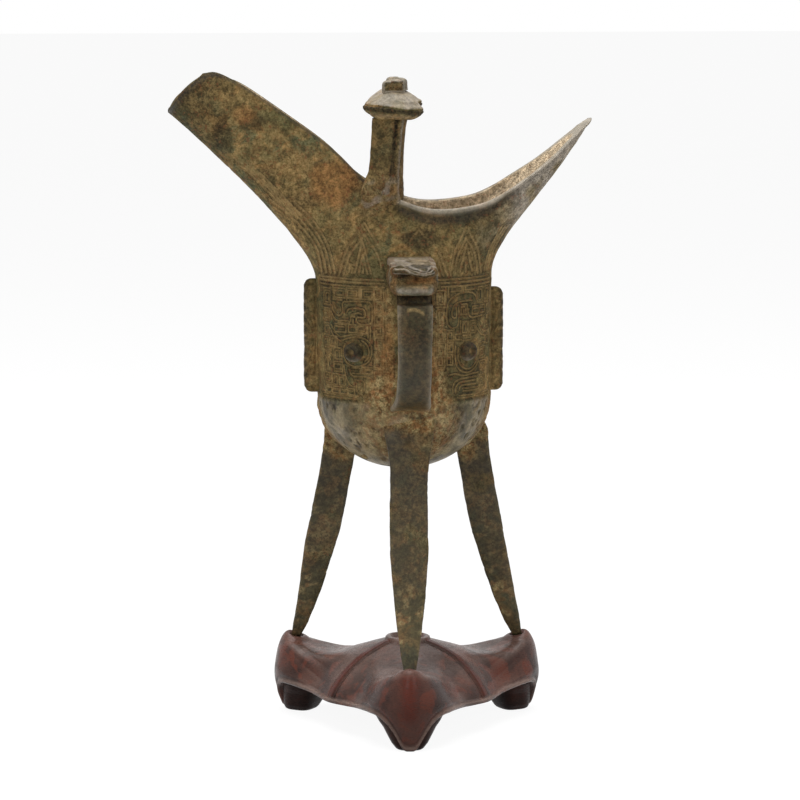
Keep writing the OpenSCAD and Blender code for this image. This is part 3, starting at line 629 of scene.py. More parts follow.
def mask_tail_side():
    """Lines of the near mask's half that looks to the tail"""
    c = [curve(q) for q in (
        [(23.9, 142.7), (23.7, 144.9), (22.2, 146.2), (19, 146.7), (15.2, 146), (12.6, 144.4),
         (11.6, 141.8), (11.5, 138.4), (12.1, 136.2), (13.6, 135.1), (15.2, 135.4), (16, 136.8),
         (16.2, 139.6), (16, 141.8)],
        [(21.6, 143.9), (19, 143.9), (16, 143.5), (14.4, 142.7), (13.6, 141.2), (13.4, 139.6),
         (13.9, 138.6), (15.1, 138.6), (15.2, 140.2), (15, 141.8)],
        [(20.4, 141.2), (20.4, 139.2), (21.4, 138.3), (23, 138.1), (27.4, 138.4)],
        [(15, 129), (14.9, 126.6), (15.2, 124), (16.4, 121.6), (18.8, 120.2), (21.8, 120.2),
         (24.7, 121.9), (26, 124)],
        [(16.1, 128.4), (16, 126.2), (16.5, 124), (17.8, 122.2), (20, 121.2), (22.4, 121.5),
         (24.3, 123.1)],
        [(12.6, 119.5), (15, 119.9), (18.5, 119.1), (22, 119.4), (26, 119.6)],
        [(14.3, 113.4), (14.3, 115.4), (15.2, 117.2), (17.4, 118), (20, 118.2), (25, 118.4)],
        [(15.5, 113.6), (15.6, 115.2), (16.6, 116.6), (18.6, 117), (24, 117.2)],
        [(17, 114.4), (17.4, 115.5), (19, 115.9), (25, 115.9)],
        [(24.4, 134.6), (26, 133), (28, 131.8), (30.4, 131.4)],
        [(25.5, 136.3), (27, 134.4), (29, 133), (31, 132.8)],
        [(26.6, 128.6), (28.4, 129.4), (30.4, 129)])]
    c += [np.array(q) for q in (
        [(7.4, 135), (7.4, 121.6), (10.8, 121.6)], [(7.6, 142.2), (10.8, 142.2)],
        [(11.1, 148.6), (11.1, 144)], [(12.1, 148.8), (12.1, 145.4)], [(17.8, 148.8), (17.8, 147)],
        [(18.2, 114.8), (27, 114.8)], [(18.6, 113.9), (28, 113.9)], [(20.4, 137), (20.4, 133.2)],
        [(16.9, 137.4), (16.9, 133.2)])]
    c += [coil(*q) for q in (
        (7.9, 143.2, 10.6, 147.6, 1, 0), (8, 136.2, 10.4, 141.4, -1, 0), (8, 131, 11, 134.7, 1, 0),
        (8, 126.6, 11, 130.3, -1, 1), (8, 122.3, 11, 125.9, 1, 0), (13, 147.2, 17.2, 148.8, 1, 0),
        (18.6, 147.4, 22.8, 148.9, -1, 0), (24.6, 142.8, 27.6, 147.9, 1, 0),
        (28.6, 142.6, 32, 147.9, -1, 0), (17.1, 139.4, 19.7, 142.7, 1, 0),
        (22, 139.2, 25, 141.8, -1, 0), (26, 139.4, 29.4, 141.8, 1, 0),
        (17.8, 133.4, 19.8, 137, 1, 0), (21.2, 133, 24, 137, -1, 0), (12, 131.2, 14.2, 134.4, 1, 0),
        (14.9, 131.2, 17.2, 133, -1, 0), (18, 130.8, 21.6, 132.4, 1, 0),
        (11.9, 127.2, 14, 130.4, -1, 0), (11.9, 123, 14, 126.4, 1, 0),
        (26.8, 124.2, 29.8, 127.8, 1, 0), (27.2, 120.2, 30.4, 123.2, -1, 0),
        (30.6, 134, 33.4, 138, 1, 0), (30.8, 128.6, 33.4, 131.4, -1, 0),
        (26.6, 115.2, 30, 118.6, 1, 0))]
    return c


def mask_lines(far):
    """All the band's lines on one side; the far side has the spout half twice, once mirrored"""
    lines = mask_spout_side()
    lines += [q * [-1, 1] for q in mask_spout_side()] if far else mask_tail_side()
    for z in (151.3, 150.2, 148.9):
        for a, b in ((-37, -9.4), (9.4, 34)):
            lines.append(np.array([(a, z), (b, z)]))
    for z in (112.5, 111.7):
        for a, b in ((-36, -19), (17, 34)):
            lines.append(np.array([(a, z), (b, z)]))
    return lines


def blade(x0, x1, top_x, top_z, z0=152.6, pitch=1.35, count=3):
    """Nested lines of one standing blade with curved sides"""
    c = []
    for k in range(count):
        a, b, t = x0 + k * pitch, x1 - k * pitch, top_z - k * pitch * 2.6
        if b - a < 1 or t - z0 < 2:
            break
        for side, bulge in ((a, -0.3), (b, 0.3)):
            c.append(curve([(side, z0), (mix(side, top_x, 0.34) + bulge, (z0 + t) / 2),
                            (mix(side, top_x, 0.78), mix(z0, t, 0.84)), (top_x, t)]))
    return c


def blade_lines():
    """Lines of the standing blades on the neck"""
    c = blade(-22.8, -7.4, -14.6, 169.8, count=2)
    c += [np.array(q) for q in ([(-17.9, 153.4), (-15.4, 164.2), (-12.7, 153.4)],
                                [(-16.6, 153.4), (-15.3, 159.6), (-13.9, 153.4)],
                                [(-19.6, 153.8), (-19.6, 156.2), (-17.4, 156.2)],
                                [(-15.3, 153.4), (-15.3, 156.6)])]
    c += blade(13.6, 24.6, 18.8, 168.6, count=2)
    c += [np.array(q) for q in ([(16.8, 153.4), (18.9, 162.6), (21.2, 153.4)],
                                [(18.9, 153.4), (18.9, 158.4)])]
    c += blade(-6.2, 12.6, 3.2, 167.5, count=3)
    for k in range(4):
        d = k * 1.35
        c.append(curve([(-24 - d, 152.8), (-26.4 - d, 162), (-31 - d * 1.5, 170.2),
                        (-37 - d * 2, 176 + d * 0.2)]))
    for k in range(3):
        d = k * 1.3
        c.append(curve([(25.8 + d * 0.6, 153), (27.4 + d * 0.7, 160), (31.4 + d, 168)]))
    for k in range(4):
        d = k * 1.2
        c.append(curve([(-38.5 + d, 171.5), (-46 + d, 179.8), (-56 + d, 189.4)]))
    return c


def line_map(lines, box, step=0.1, width=0.24):
    """Two flat maps of the incised lines: 1 along a line, and 1 on the strips just beside it, which
    get painted shade
    """
    u0, u1, z0, z1 = box
    cols, rows = int((u1 - u0) / step) + 1, int((z1 - z0) / step) + 1
    best = np.full((rows, cols), 9.0)
    reach = 0.8
    for line in lines:
        for a, b in zip(line[:-1], line[1:]):
            i0 = max(0, int((min(a[0], b[0]) - reach - u0) / step))
            i1 = min(cols, int((max(a[0], b[0]) + reach - u0) / step) + 2)
            j0 = max(0, int((min(a[1], b[1]) - reach - z0) / step))
            j1 = min(rows, int((max(a[1], b[1]) + reach - z0) / step) + 2)
            if i1 <= i0 or j1 <= j0:
                continue
            u = u0 + np.arange(i0, i1) * step
            z = z0 + np.arange(j0, j1)[:, None] * step
            d = b - a
            t = clamp(((u - a[0]) * d[0] + (z - a[1]) * d[1]) / max(1e-9, float(d @ d)))
            q = np.hypot(u - a[0] - t * d[0], z - a[1] - t * d[1])
            best[j0:j1, i0:i1] = np.minimum(best[j0:j1, i0:i1], q)
    return (1 - ease((best - width * 0.55) / (width * 1.15)),
            rise(best, 0.28, 0.14) * (1 - rise(best, 0.5, 0.28)))


def read_map(m, box, u, z, step=0.1):
    """Values of a flat map at points of it"""
    x, y = (u - box[0]) / step, (z - box[2]) / step
    inside = (x >= 0) & (y >= 0) & (x < m.shape[1] - 1) & (y < m.shape[0] - 1)
    x, y = np.clip(x, 0, m.shape[1] - 1.001), np.clip(y, 0, m.shape[0] - 1.001)
    i, j = x.astype(int), y.astype(int)
    f, g = x - i, y - j
    value = ((m[j, i] * (1 - f) + m[j, i + 1] * f) * (1 - g)
             + (m[j + 1, i] * (1 - f) + m[j + 1, i + 1] * f) * g)
    return np.where(inside, value, 0.0)


# ---- The cast wall: bowl, spout and tail in one skin
# The band of ornament is laid out by distance along the bowl's wall, from the middle of each side
FINE = np.linspace(-np.pi, np.pi, 8001)
OVAL = np.stack([HALF_LENGTH * 0.982 * np.cos(FINE), HALF_WIDTH * 0.982 * np.sin(FINE)], 1)
ARC = np.concatenate([[0], np.cumsum(np.linalg.norm(np.diff(OVAL, axis=0), axis=1))])
NEAR_MID, FAR_MID = (np.interp(math.radians(a + MASK_TURN), FINE, ARC) for a in (-90, 90))
BAND_BOX, NECK_BOX = (-42.0, 42.0, 110.0, 152.6), (-62.0, 40.0, 151.8, 194.0)
PANEL_U, PANEL_Z = (6.2, 36.5), (110.9, 149.65)
NEAR_MAPS, FAR_MAPS = (line_map(mask_lines(False), BAND_BOX, width=0.2),
                       line_map(mask_lines(True), BAND_BOX, width=0.2))
BLADE_MAPS = line_map(blade_lines(), NECK_BOX, width=0.26)


def wall_finish(outer, theta, from_rim):
    """The wall's normals, its relief along them, and the marks of its patina, of its parts and of
    its painted light and shade
    """
    normals = grid_normals(outer, rings=from_rim.min() < 1)
    middle = len(outer) // 2
    if (normals[middle, :, :2] * outer[middle, :, :2]).sum() < 0:
        normals = -normals
    x, y, z = outer[..., 0], outer[..., 1], outer[..., 2]
    near = y <= 0

    u_at = np.interp(theta, FINE, ARC)
    u_near, u_far = u_at - NEAR_MID, FAR_MID - u_at
    band, band_line_shade = (np.where(near, read_map(NEAR_MAPS[k], BAND_BOX, u_near, z),
                                read_map(FAR_MAPS[k], BAND_BOX, -u_far, z)) for k in (0, 1))
    blades, blade_line_shade = (read_map(q, NECK_BOX, x, z) for q in BLADE_MAPS)
    worn = patches(outer, 9, 3, 3, -0.75, 0.6)
    away = np.abs(u_near) > 6.5
    clear_band = np.where(near, away, True) * mix(0.65, 1, worn)
    clear_neck = (np.where(near & (np.abs(x) < 9.4) & (z < 166), 0.15, 1)
                  * mix(0.35, 1, patches(outer, 7, 3, 5, -0.5, 0.5)))
    groove = np.clip(band * clear_band + blades * clear_neck, 0, 1)
    # The strips beside the cut lines are darkened: painted shade along the cuts' edges
    painted_line_shade = np.clip(band_line_shade * clear_band + blade_line_shade * clear_neck, 0, 1) * (1 - groove)

    tailward = rise(x - POST_X, 3, 3)
    bead = tailward * (hill(from_rim, 0.7, 0.75) * 0.55 - hill(from_rim, 2.2, 0.6) * 0.35)
    spoutward = 1 - rise(x - POST_X, -6, 5)
    plain_edge = spoutward * hill(from_rim, 0.5, 0.8)

    pits = patches(outer, 1.6, 2, 9, 0.28, 0.3)
    holes = patches(outer, 2.1, 2, 10, 0.3, 0.12) * (1 - rise(z, 108, 4))
    rootline = np.minimum.reduce([np.linalg.norm(outer - root, axis=2) for root in leg_roots()])
    at_legs = 1 - rise(rootline, 12, 10)
    at_handle = np.where(near, (1 - ease((np.abs(x) - 6.5) / 9)) * (1 - rise(z, 111, 7))
                         * rise(z, 95, 8), 0)
    beside = np.where(near, (1 - ease((np.abs(np.abs(x) - 9) - 1.5) / 3)) * rise(z, 108, 8)
                      * (1 - rise(z, 142, 10)), 0)
    broad = clouds(outer, 14, 3, 1)
    crust = clamp(np.maximum(at_legs, at_handle) * (0.75 + 0.5 * broad)
                  + 0.5 * beside * rise(broad, -0.4, 0.6)
                  + 0.9 * patches(outer, 8, 3, 21, 0.34, 0.2) * (1 - rise(z, 116, 6)))
    low_bowl = 1 - rise(z, 109.5, 2.0)
    # A darker band below the tail-side rim: painted shadow under the rim's bead
    under_rim = tailward * hill(from_rim, 2.9, 2.4)
    shift = (clouds(outer, 3.2, 3, 2) * mix(0.13, 0.05, low_bowl * (1 - crust))
             - pits * 0.16 * (1 - low_bowl * 0.6)
             + crust * (0.22 + 0.5 * clouds(outer, 2.6, 3, 4)) + broad * 0.25
             - groove * LINE_DEPTH * (1 - crust) + bead - holes * 0.4
             + 0.9 * rise(at_legs, 0.5, 0.5))
    dark_tip = (ease((-58 - x + clouds(outer, 7, 3, 12) * 9) / 6) * 0.4
                + hill(np.hypot(x + 72, z - 213), 0, 7) * 0.25)

    def spot(px, pz, rx, rz, grow=0.35, seed=23):
        """A patch on the near side, with a ragged edge"""
        q = np.hypot((x - px) / rx, (z - pz) / rz) + clouds(outer, 5, 3, seed) * grow
        return np.where(near, 1 - rise(q, 0.7, 0.5), 0)
    in_band = rise(z, 111, 1.5) * (1 - rise(z, 152, 2))
    # Dark patches of patina on the near side; the one at x -9, z 176.8 is a painted shadow under
    # the near post's foot
    dark_spots_and_post_shadow = (0.8 * spot(3.0, 164.5, 7.0, 3.0) + 0.75 * spot(-9.0, 176.8, 6.0, 1.8)
              + 0.5 * spot(-17, 186, 4.5, 8)
              + 0.6 * spot(-51, 202.5, 4.5, 3.5) + 0.55 * spot(-60, 198, 3, 6)
              + 0.45 * spot(-34, 177, 5, 3) + 0.4 * spot(-46, 184, 3, 5))
    warm = (0.75 * spot(-25, 182.5, 8, 8) + 0.5 * spot(-54, 205, 4, 3)
            + 0.5 * spot(-7.2, 124, 2.0, 12) + 0.35 * spot(7.6, 120, 1.8, 9))
    dark = clamp(dark_tip + under_rim + plain_edge * 0.8 + beside * 0.3 + dark_spots_and_post_shadow
                 + low_bowl * 0.55 * patches(outer, 9, 3, 15, 0.15, 0.2)
                 + rise(x, 12, 10) * rise(z, 150, 8) * (1 - rise(x, 30, 8)) * 0.2
                 + painted_line_shade * 0.72 * (1 - crust) + holes * 0.9
                 + 0.35 * in_band * patches(outer, 11, 3, 17, -0.25, 0.4)
                 * (1 - groove)) * (1 - groove * 0.9)
    skin = clamp(low_bowl * (1 - crust) * 0.95 + rise(x, 18, 12) * rise(z, 156, 8) * 0.9)
    ochre = clamp((rise(broad, -0.1, 0.5) * 0.6 * rise(z, 112, 6)
                   + 0.35 * hill(x, -24, 16) * hill(z, 172, 16) + 0.5 * beside
                   ) * (1 - 0.5 * in_band * (1 - beside)))
    rub = clamp(low_bowl * (1 - crust) * 0.75 + plain_edge + tailward * hill(from_rim, 0.6, 1.0)
                + under_rim * 0.5)
    # A light line along the tail-side rim: painted highlight on the top of the bead
    edge = tailward * hill(from_rim, 0.2, 0.7)
    pale = clamp(edge * 0.6 + 0.95 * rise(x, 30, 10) * patches(outer, 8, 3, 27, -0.55, 0.5)
                 + 0.3 * spot(-3, 180, 4, 2) + 0.35 * low_bowl * (1 - crust)
                 * patches(outer, 6, 3, 29, 0.1, 0.3))
    marks = {"groove": groove * (1 - crust * 0.7), "crust": crust, "dark": dark, "skin": skin,
             "ochre": ochre, "rub": rub, "pale": pale, "warm": clamp(warm),
             "u": np.where(near, u_near, u_far), "bead": bead,
             "tailward": tailward, "spoutward": spoutward}
    return normals, shift, marks


def build_wall():
    """Bowl, spout and tail as one skin with a rim and an inside"""
    n = 296
    s, side = ring_params(n)
    cols = len(s)
    low_angles = np.concatenate([[2.5, 5, 8, 11, 14], np.linspace(17, 90, 40)])
    mid_angles = np.linspace(90, 120, 130)[1:]
    outer_bowl = bowl_rows(np.concatenate([low_angles, mid_angles]), n, 0)
    outer_neck = neck_rows(np.linspace(0, 1, 92)[1:], n, 0)
    inner_neck = neck_rows(np.linspace(1, 0, 42), n, 1)
    inner_bowl = bowl_rows(np.array([117, 112, 106, 100, 95, 90, 84, 77, 70, 62, 54, 46, 38, 30,
                                     22, 14, 7]), n, WALL)
    outer = np.concatenate([outer_bowl, outer_neck])
    rim_out, rim_in = outer[-1], inner_neck[0]
    up = rim_out - outer[-2]
    up /= np.maximum(np.linalg.norm(up, axis=1, keepdims=True), 1e-6)
    lips = np.stack([mix(rim_out, rim_in, k) + up * 0.7 * math.sin(math.pi * k)
                     for k in (0.22, 0.5, 0.78)])
    inner = np.concatenate([inner_neck, inner_bowl])

    down = np.linalg.norm(np.diff(outer[::-1], axis=0), axis=2)
    from_rim = np.concatenate([np.zeros((1, cols)), np.cumsum(down, axis=0)])[::-1]
    theta = np.broadcast_to(np.pi * (1 - s) * side, outer.shape[:2])
    normals, shift, v = wall_finish(outer, theta, from_rim)
    # Under the band's own finer panels the wall lies a little deeper
    u, z = np.abs(v["u"]), outer[..., 2]
    covered = (rise(u - PANEL_U[0], 0.4, 0.5) * (1 - rise(u - PANEL_U[1], -0.9, 0.5))
               * rise(z - PANEL_Z[0], 0.4, 0.5) * (1 - rise(z - PANEL_Z[1], -0.9, 0.5)))
    outer = outer + normals * (shift - PANEL_RECESS * covered)[..., None]
    inner_normals = grid_normals(inner)
    inner = (inner + inner_normals * (clouds(inner, 2.2, 3, 6) * 0.16
                                      - 0.2 * patches(inner, 1.4, 2, 8, 0.25, 0.3))[..., None]
             * np.where(
         np.arange(len(inner))[:, None, None] < 2, 0, 1))

    rows = np.concatenate([outer, lips + normals[-1] * v["bead"][-1][:, None] * 0.9, inner])
    points = np.concatenate([rows.reshape(-1, 3), [[0, 0, POLE + 0.1]], [[0, 0, POLE + WALL]]])

    spoutward, tailward = v["spoutward"][-1], v["tailward"][-1]
    # Marks of the lip and of the inside; the inside is earthy and lightened with painted light
    # falling in from above, and the lip's tail side gets a painted highlight
    lip_and_inside = {"groove": (0, 0), "crust": (0, 0.25), "dark": (spoutward * 0.7, 0.1),
                      "skin": (0, 0), "ochre": (0, 0.75),
                      "rub": (0.15 + 0.55 * tailward, 0), "pale": (tailward * 0.7, 0.2),
                      "sand": (0, 0.95), "warm": (0, 0.2)}
    marks = {}
    for key, (lip, inside) in lip_and_inside.items():
        marks[key] = np.concatenate([v.get(key, np.zeros(outer.shape[:2])).ravel(),
                                     np.broadcast_to(lip, (3, cols)).ravel(),
                                     np.full(inner.shape[:2], inside).ravel(), [0, 0]])
    make_piece("cast_wall", points, closed_faces(len(rows), cols), "vessel", "bronze", marks,
               ("bowl", "spout", "tail"))


def build_panel(name, near, way):
    """One quarter of the band, a thin shell with a finer mesh for its cut lines"""
    u = way * np.linspace(PANEL_U[0], PANEL_U[1], 270)
    theta = np.interp(NEAR_MID + u if near else FAR_MID - u, ARC, FINE)[:, None]
    z = np.linspace(PANEL_Z[0], PANEL_Z[1], 272)
    f = mix(0.965, 1, clamp((z - BELLY) / (WAIST - BELLY)))
    front = np.stack([f * HALF_LENGTH * np.cos(theta), f * HALF_WIDTH * np.sin(theta), z
                      + 0 * theta], -1)
    normals, shift, v = wall_finish(front, np.broadcast_to(theta, front.shape[:2]),
                                    np.full(front.shape[:2], 50.0))
    sink = np.zeros(front.shape[:2])
    sink[0], sink[-1], sink[:, 0], sink[:, -1] = [PANEL_SINK] * 4
    back = (front - normals * PANEL_T)[:, -6:5:-32]
    rings = np.concatenate([front + normals * (shift + 0.04 - sink)[..., None], back], 1)
    marks = {key: np.pad(v[key], ((0, 0), (0, back.shape[1])))
             for key in ("groove", "crust", "dark", "skin", "ochre", "rub", "pale", "warm")}
    loft_piece(name, rings, "vessel", "bronze", marks)


def leg_reach(u):
    """How far a leg stands out, from its tip to its root"""
    tip, root = LEG_TIP_R + LEG_TIP_W * 0.36, HALF_WIDTH + 0.6
    bend = (tip + root) / 2 - 3.4
    return mix(mix(tip, bend, u), mix(bend, root, u), u)


def bowl_share(z):
    """The bowl's width at heights z, as a share of that at the waist"""
    c = clamp((BELLY - z) / (BELLY - POLE))
    return np.where(z < BELLY, 0.965 * np.sqrt(np.maximum(0, 1 - c * c)) ** 0.92,
                    mix(0.965, 1, (z - BELLY) / (WAIST - BELLY)))


def leg_roots():
    """The middles of the places where the legs meet the bowl"""
    r = leg_reach(np.array(0.98)) - 3
    return [np.array([LEG_SHIFT + r * math.cos(a), r * math.sin(a), 104.0]) for a in LEG_ANGLES]


# ---- Legs
def build_leg(i, name):
    """A sabre leg, three-sided: a broad face outward and an edge toward the axis"""
    u = np.linspace(0, 1.055, 160)
    w = mix(LEG_TIP_W, LEG_WIDE, clamp(u / 0.46) ** 0.75) + 4.4 * rise(u, 0.78, 0.22)
    w = w * np.sqrt(1 - clamp((u - 0.98) / 0.08) ** 2)
    d = mix(LEG_TIP_D, LEG_DEEP, clamp(u / 0.46) ** 0.7)
    z = mix(LEG_TIP_Z, BELLY - 6, u)
    angle = LEG_ANGLES[i]
    flat = math.hypot(math.cos(angle) / HALF_LENGTH, math.sin(angle) / HALF_WIDTH)
    wall = bowl_share(z) / flat - LEG_SHIFT * math.cos(angle)
    face = wall + (0.9, 2.7, -0.2)[i] * (1 - rise(z, 102.5, 7.5)) - 0.35
    r = leg_reach(np.minimum(u, 1)) + (0, 1.6, 0.5)[i] * rise(u, 0.02, 0.4)
    r = mix(np.where(u > 0.8, np.maximum(r, face), r), face, rise(u, 0.9, 0.12))
    d = np.where(u > 0.75, np.minimum(d, r - wall + 2.0), d)
    corners = np.array([[0, 0], [0.0, 0.5], [-0.02, 0.93], [-0.1, 1], [-0.2, 0.97], [-0.55, 0.6],
                        [-0.88, 0.22], [-0.97, 0.1],
                        [-1, 0]])
    dense = along(corners, np.linspace(0, 1, 25))
    half = np.concatenate([dense, (dense * [1, -1])[-2:0:-1]])
    p = np.zeros((len(u), len(half), 3))
    p[..., 1] = half[:, 1] * w[:, None] / 2
    p[..., 0] = (r[:, None] + half[:, 0] * d[:, None]
                 - p[..., 1] ** 2 / 60 * rise(u, 0.86, 0.12)[:, None])
    p[..., 2] = z[:, None]
    p = turn(p, angle) + [LEG_SHIFT, 0, 0]
    n = facing_out(p, p.mean(1, keepdims=True))
    spots = patches(p, 7, 3, 31 + i, 0.12, 0.3)
    root = ease((u[:, None] - (0.87, 0.77, 0.77)[i] + 0.1 * clouds(p, 6, 3, 42)) / 0.1)
    tip = over(p, rise(u, 0.02, 0.05)[:, None])
    rough = (clouds(p, 2.4, 3, 35) * 0.14 - 0.16 * patches(p, 1.3, 2, 37, 0.3, 0.3) + spots * 0.1
             + clouds(p, 12, 2, 38) * 0.3)
    p = push(p, n, rough * tip - 0.25 * (1 - tip) + root * clouds(p, 3, 3, 39) * 0.4)
    lower = over(p, (hill(u, 0.16, 0.14) + 0.4 * hill(u, 0.5, 0.2))[:, None])
    marks = {
        "crust": clamp(lower * patches(p, 2.2, 3, 41, 0.08, 0.25) * 0.75 + root * 0.85),
        "dark": clamp(0.97 + 0.1 * clouds(p, 6, 3, 43) - root * 0.55 - 0.25 * spots - 0.35 * lower),
        "skin": 0.2 * spots, "ochre": 0.6 * root,
        "rub": 0.8 * (1 - 0.5 * spots) * (1 - root)}
    loft_piece("sabre_" + name, p, "vessel", "bronze", marks, name)


# ---- Handle: strap and animal head
def build_strap():
    reach = HANDLE_REACH
    line = [[reach - 14, HEAD_Z + 4], [reach - 5.5, HEAD_Z + 1.5], [reach - 1.6, HEAD_Z - 5],
            [reach - STRAP_T / 2, HEAD_Z - 14],
            [reach - 3.4, STRAP_LOW + 11], [reach - 7.6, STRAP_LOW + 4.4],
            [reach - 13, STRAP_LOW + 0.6],
            [HALF_WIDTH - 3, STRAP_LOW - 2]]
    f = np.linspace(0.06, 0.99, 210)
    c = along(line, f)
    d = np.gradient(c, axis=0)
    n2 = np.stack([d[:, 1], -d[:, 0]], 1) / np.linalg.norm(d, axis=1, keepdims=True)
    if n2[80, 0] < 0:
        n2 = -n2
    a = circle(3000)
    sx, sy = squared(a, 0.34, 0.42)
    sx, sy = even(sx * STRAP_W / 2, sy * STRAP_T / 2, 124)
    sx, sy = sx / (STRAP_W / 2), sy / (STRAP_T / 2)
    width = STRAP_W / 2 + 0.9 * rise(f, 0.72, 0.25) - 0.15 * hill(f, 0.5, 0.15)
    hollow = -0.35 * (1 - sx ** 2) * ease(sy / 0.5)
    p = np.zeros((len(f), len(sx), 3))
    p[..., 0] = sx * width[:, None]
    off = sy * (STRAP_T / 2) + hollow
    p[..., 1] = -(c[:, :1] + n2[:, :1] * off)
    p[..., 2] = c[:, 1:] + n2[:, 1:] * off
    n = facing_out(p, p.mean(1, keepdims=True))
    low = over(p, rise(f, 0.86, 0.1)[:, None])
    front = over(p, (sy > 0.3) * 1.0)
    # The strap's front goes in under the snout, a slot that is also painted dark as its shadow
    mouth = rise(p[..., 2], 144.7, 0.6) * rise(over(p, sy), -0.2, 0.4)
    arch = (hill(p[..., 2] + 0.1 * (p[..., 0] + 1) ** 2, 143.7, 0.5) * front
            * (1 - ease((np.abs(p[..., 0]) - 2.4) / 0.7)))
    p = push(p, n, clouds(p, 2.6, 3, 51) * 0.09 + clouds(p, 9, 2, 52) * 0.22
             + low * clouds(p, 2.4, 3, 53) * 0.5 + arch * 0.5)
    p[..., 1] += mouth * 2.9
    # The strap's side edges: less dark and paler, a painted highlight on their bevels
    rim = over(p, (np.abs(sx) ** 6 * (sy > -0.4)))
    marks = {
        "dark": clamp(front * 0.95 * (1 - low) * (0.95 + 0.2 * clouds(p, 4, 3, 54))
                      - rim * 0.6 * (1 - mouth) - 1.2 * arch + mouth),
        "pale": clamp(rim * front * 0.45 * (0.9 + 0.5 * clouds(p, 3, 3, 55)) * (1 - mouth)),
        "rub": clamp(front * (1 - low) * mix(0.45, 0.95, ease((136 - p[..., 2]) / 12))),
        "crust": clamp(low * 0.85),
        "ochre": 0.5 * (1 - front) + 0.2 * low, "skin": 0.35 * rim,
        "groove": arch}
    loft_piece("strap", p, "vessel", "dark_bronze", marks, "handle_strap")


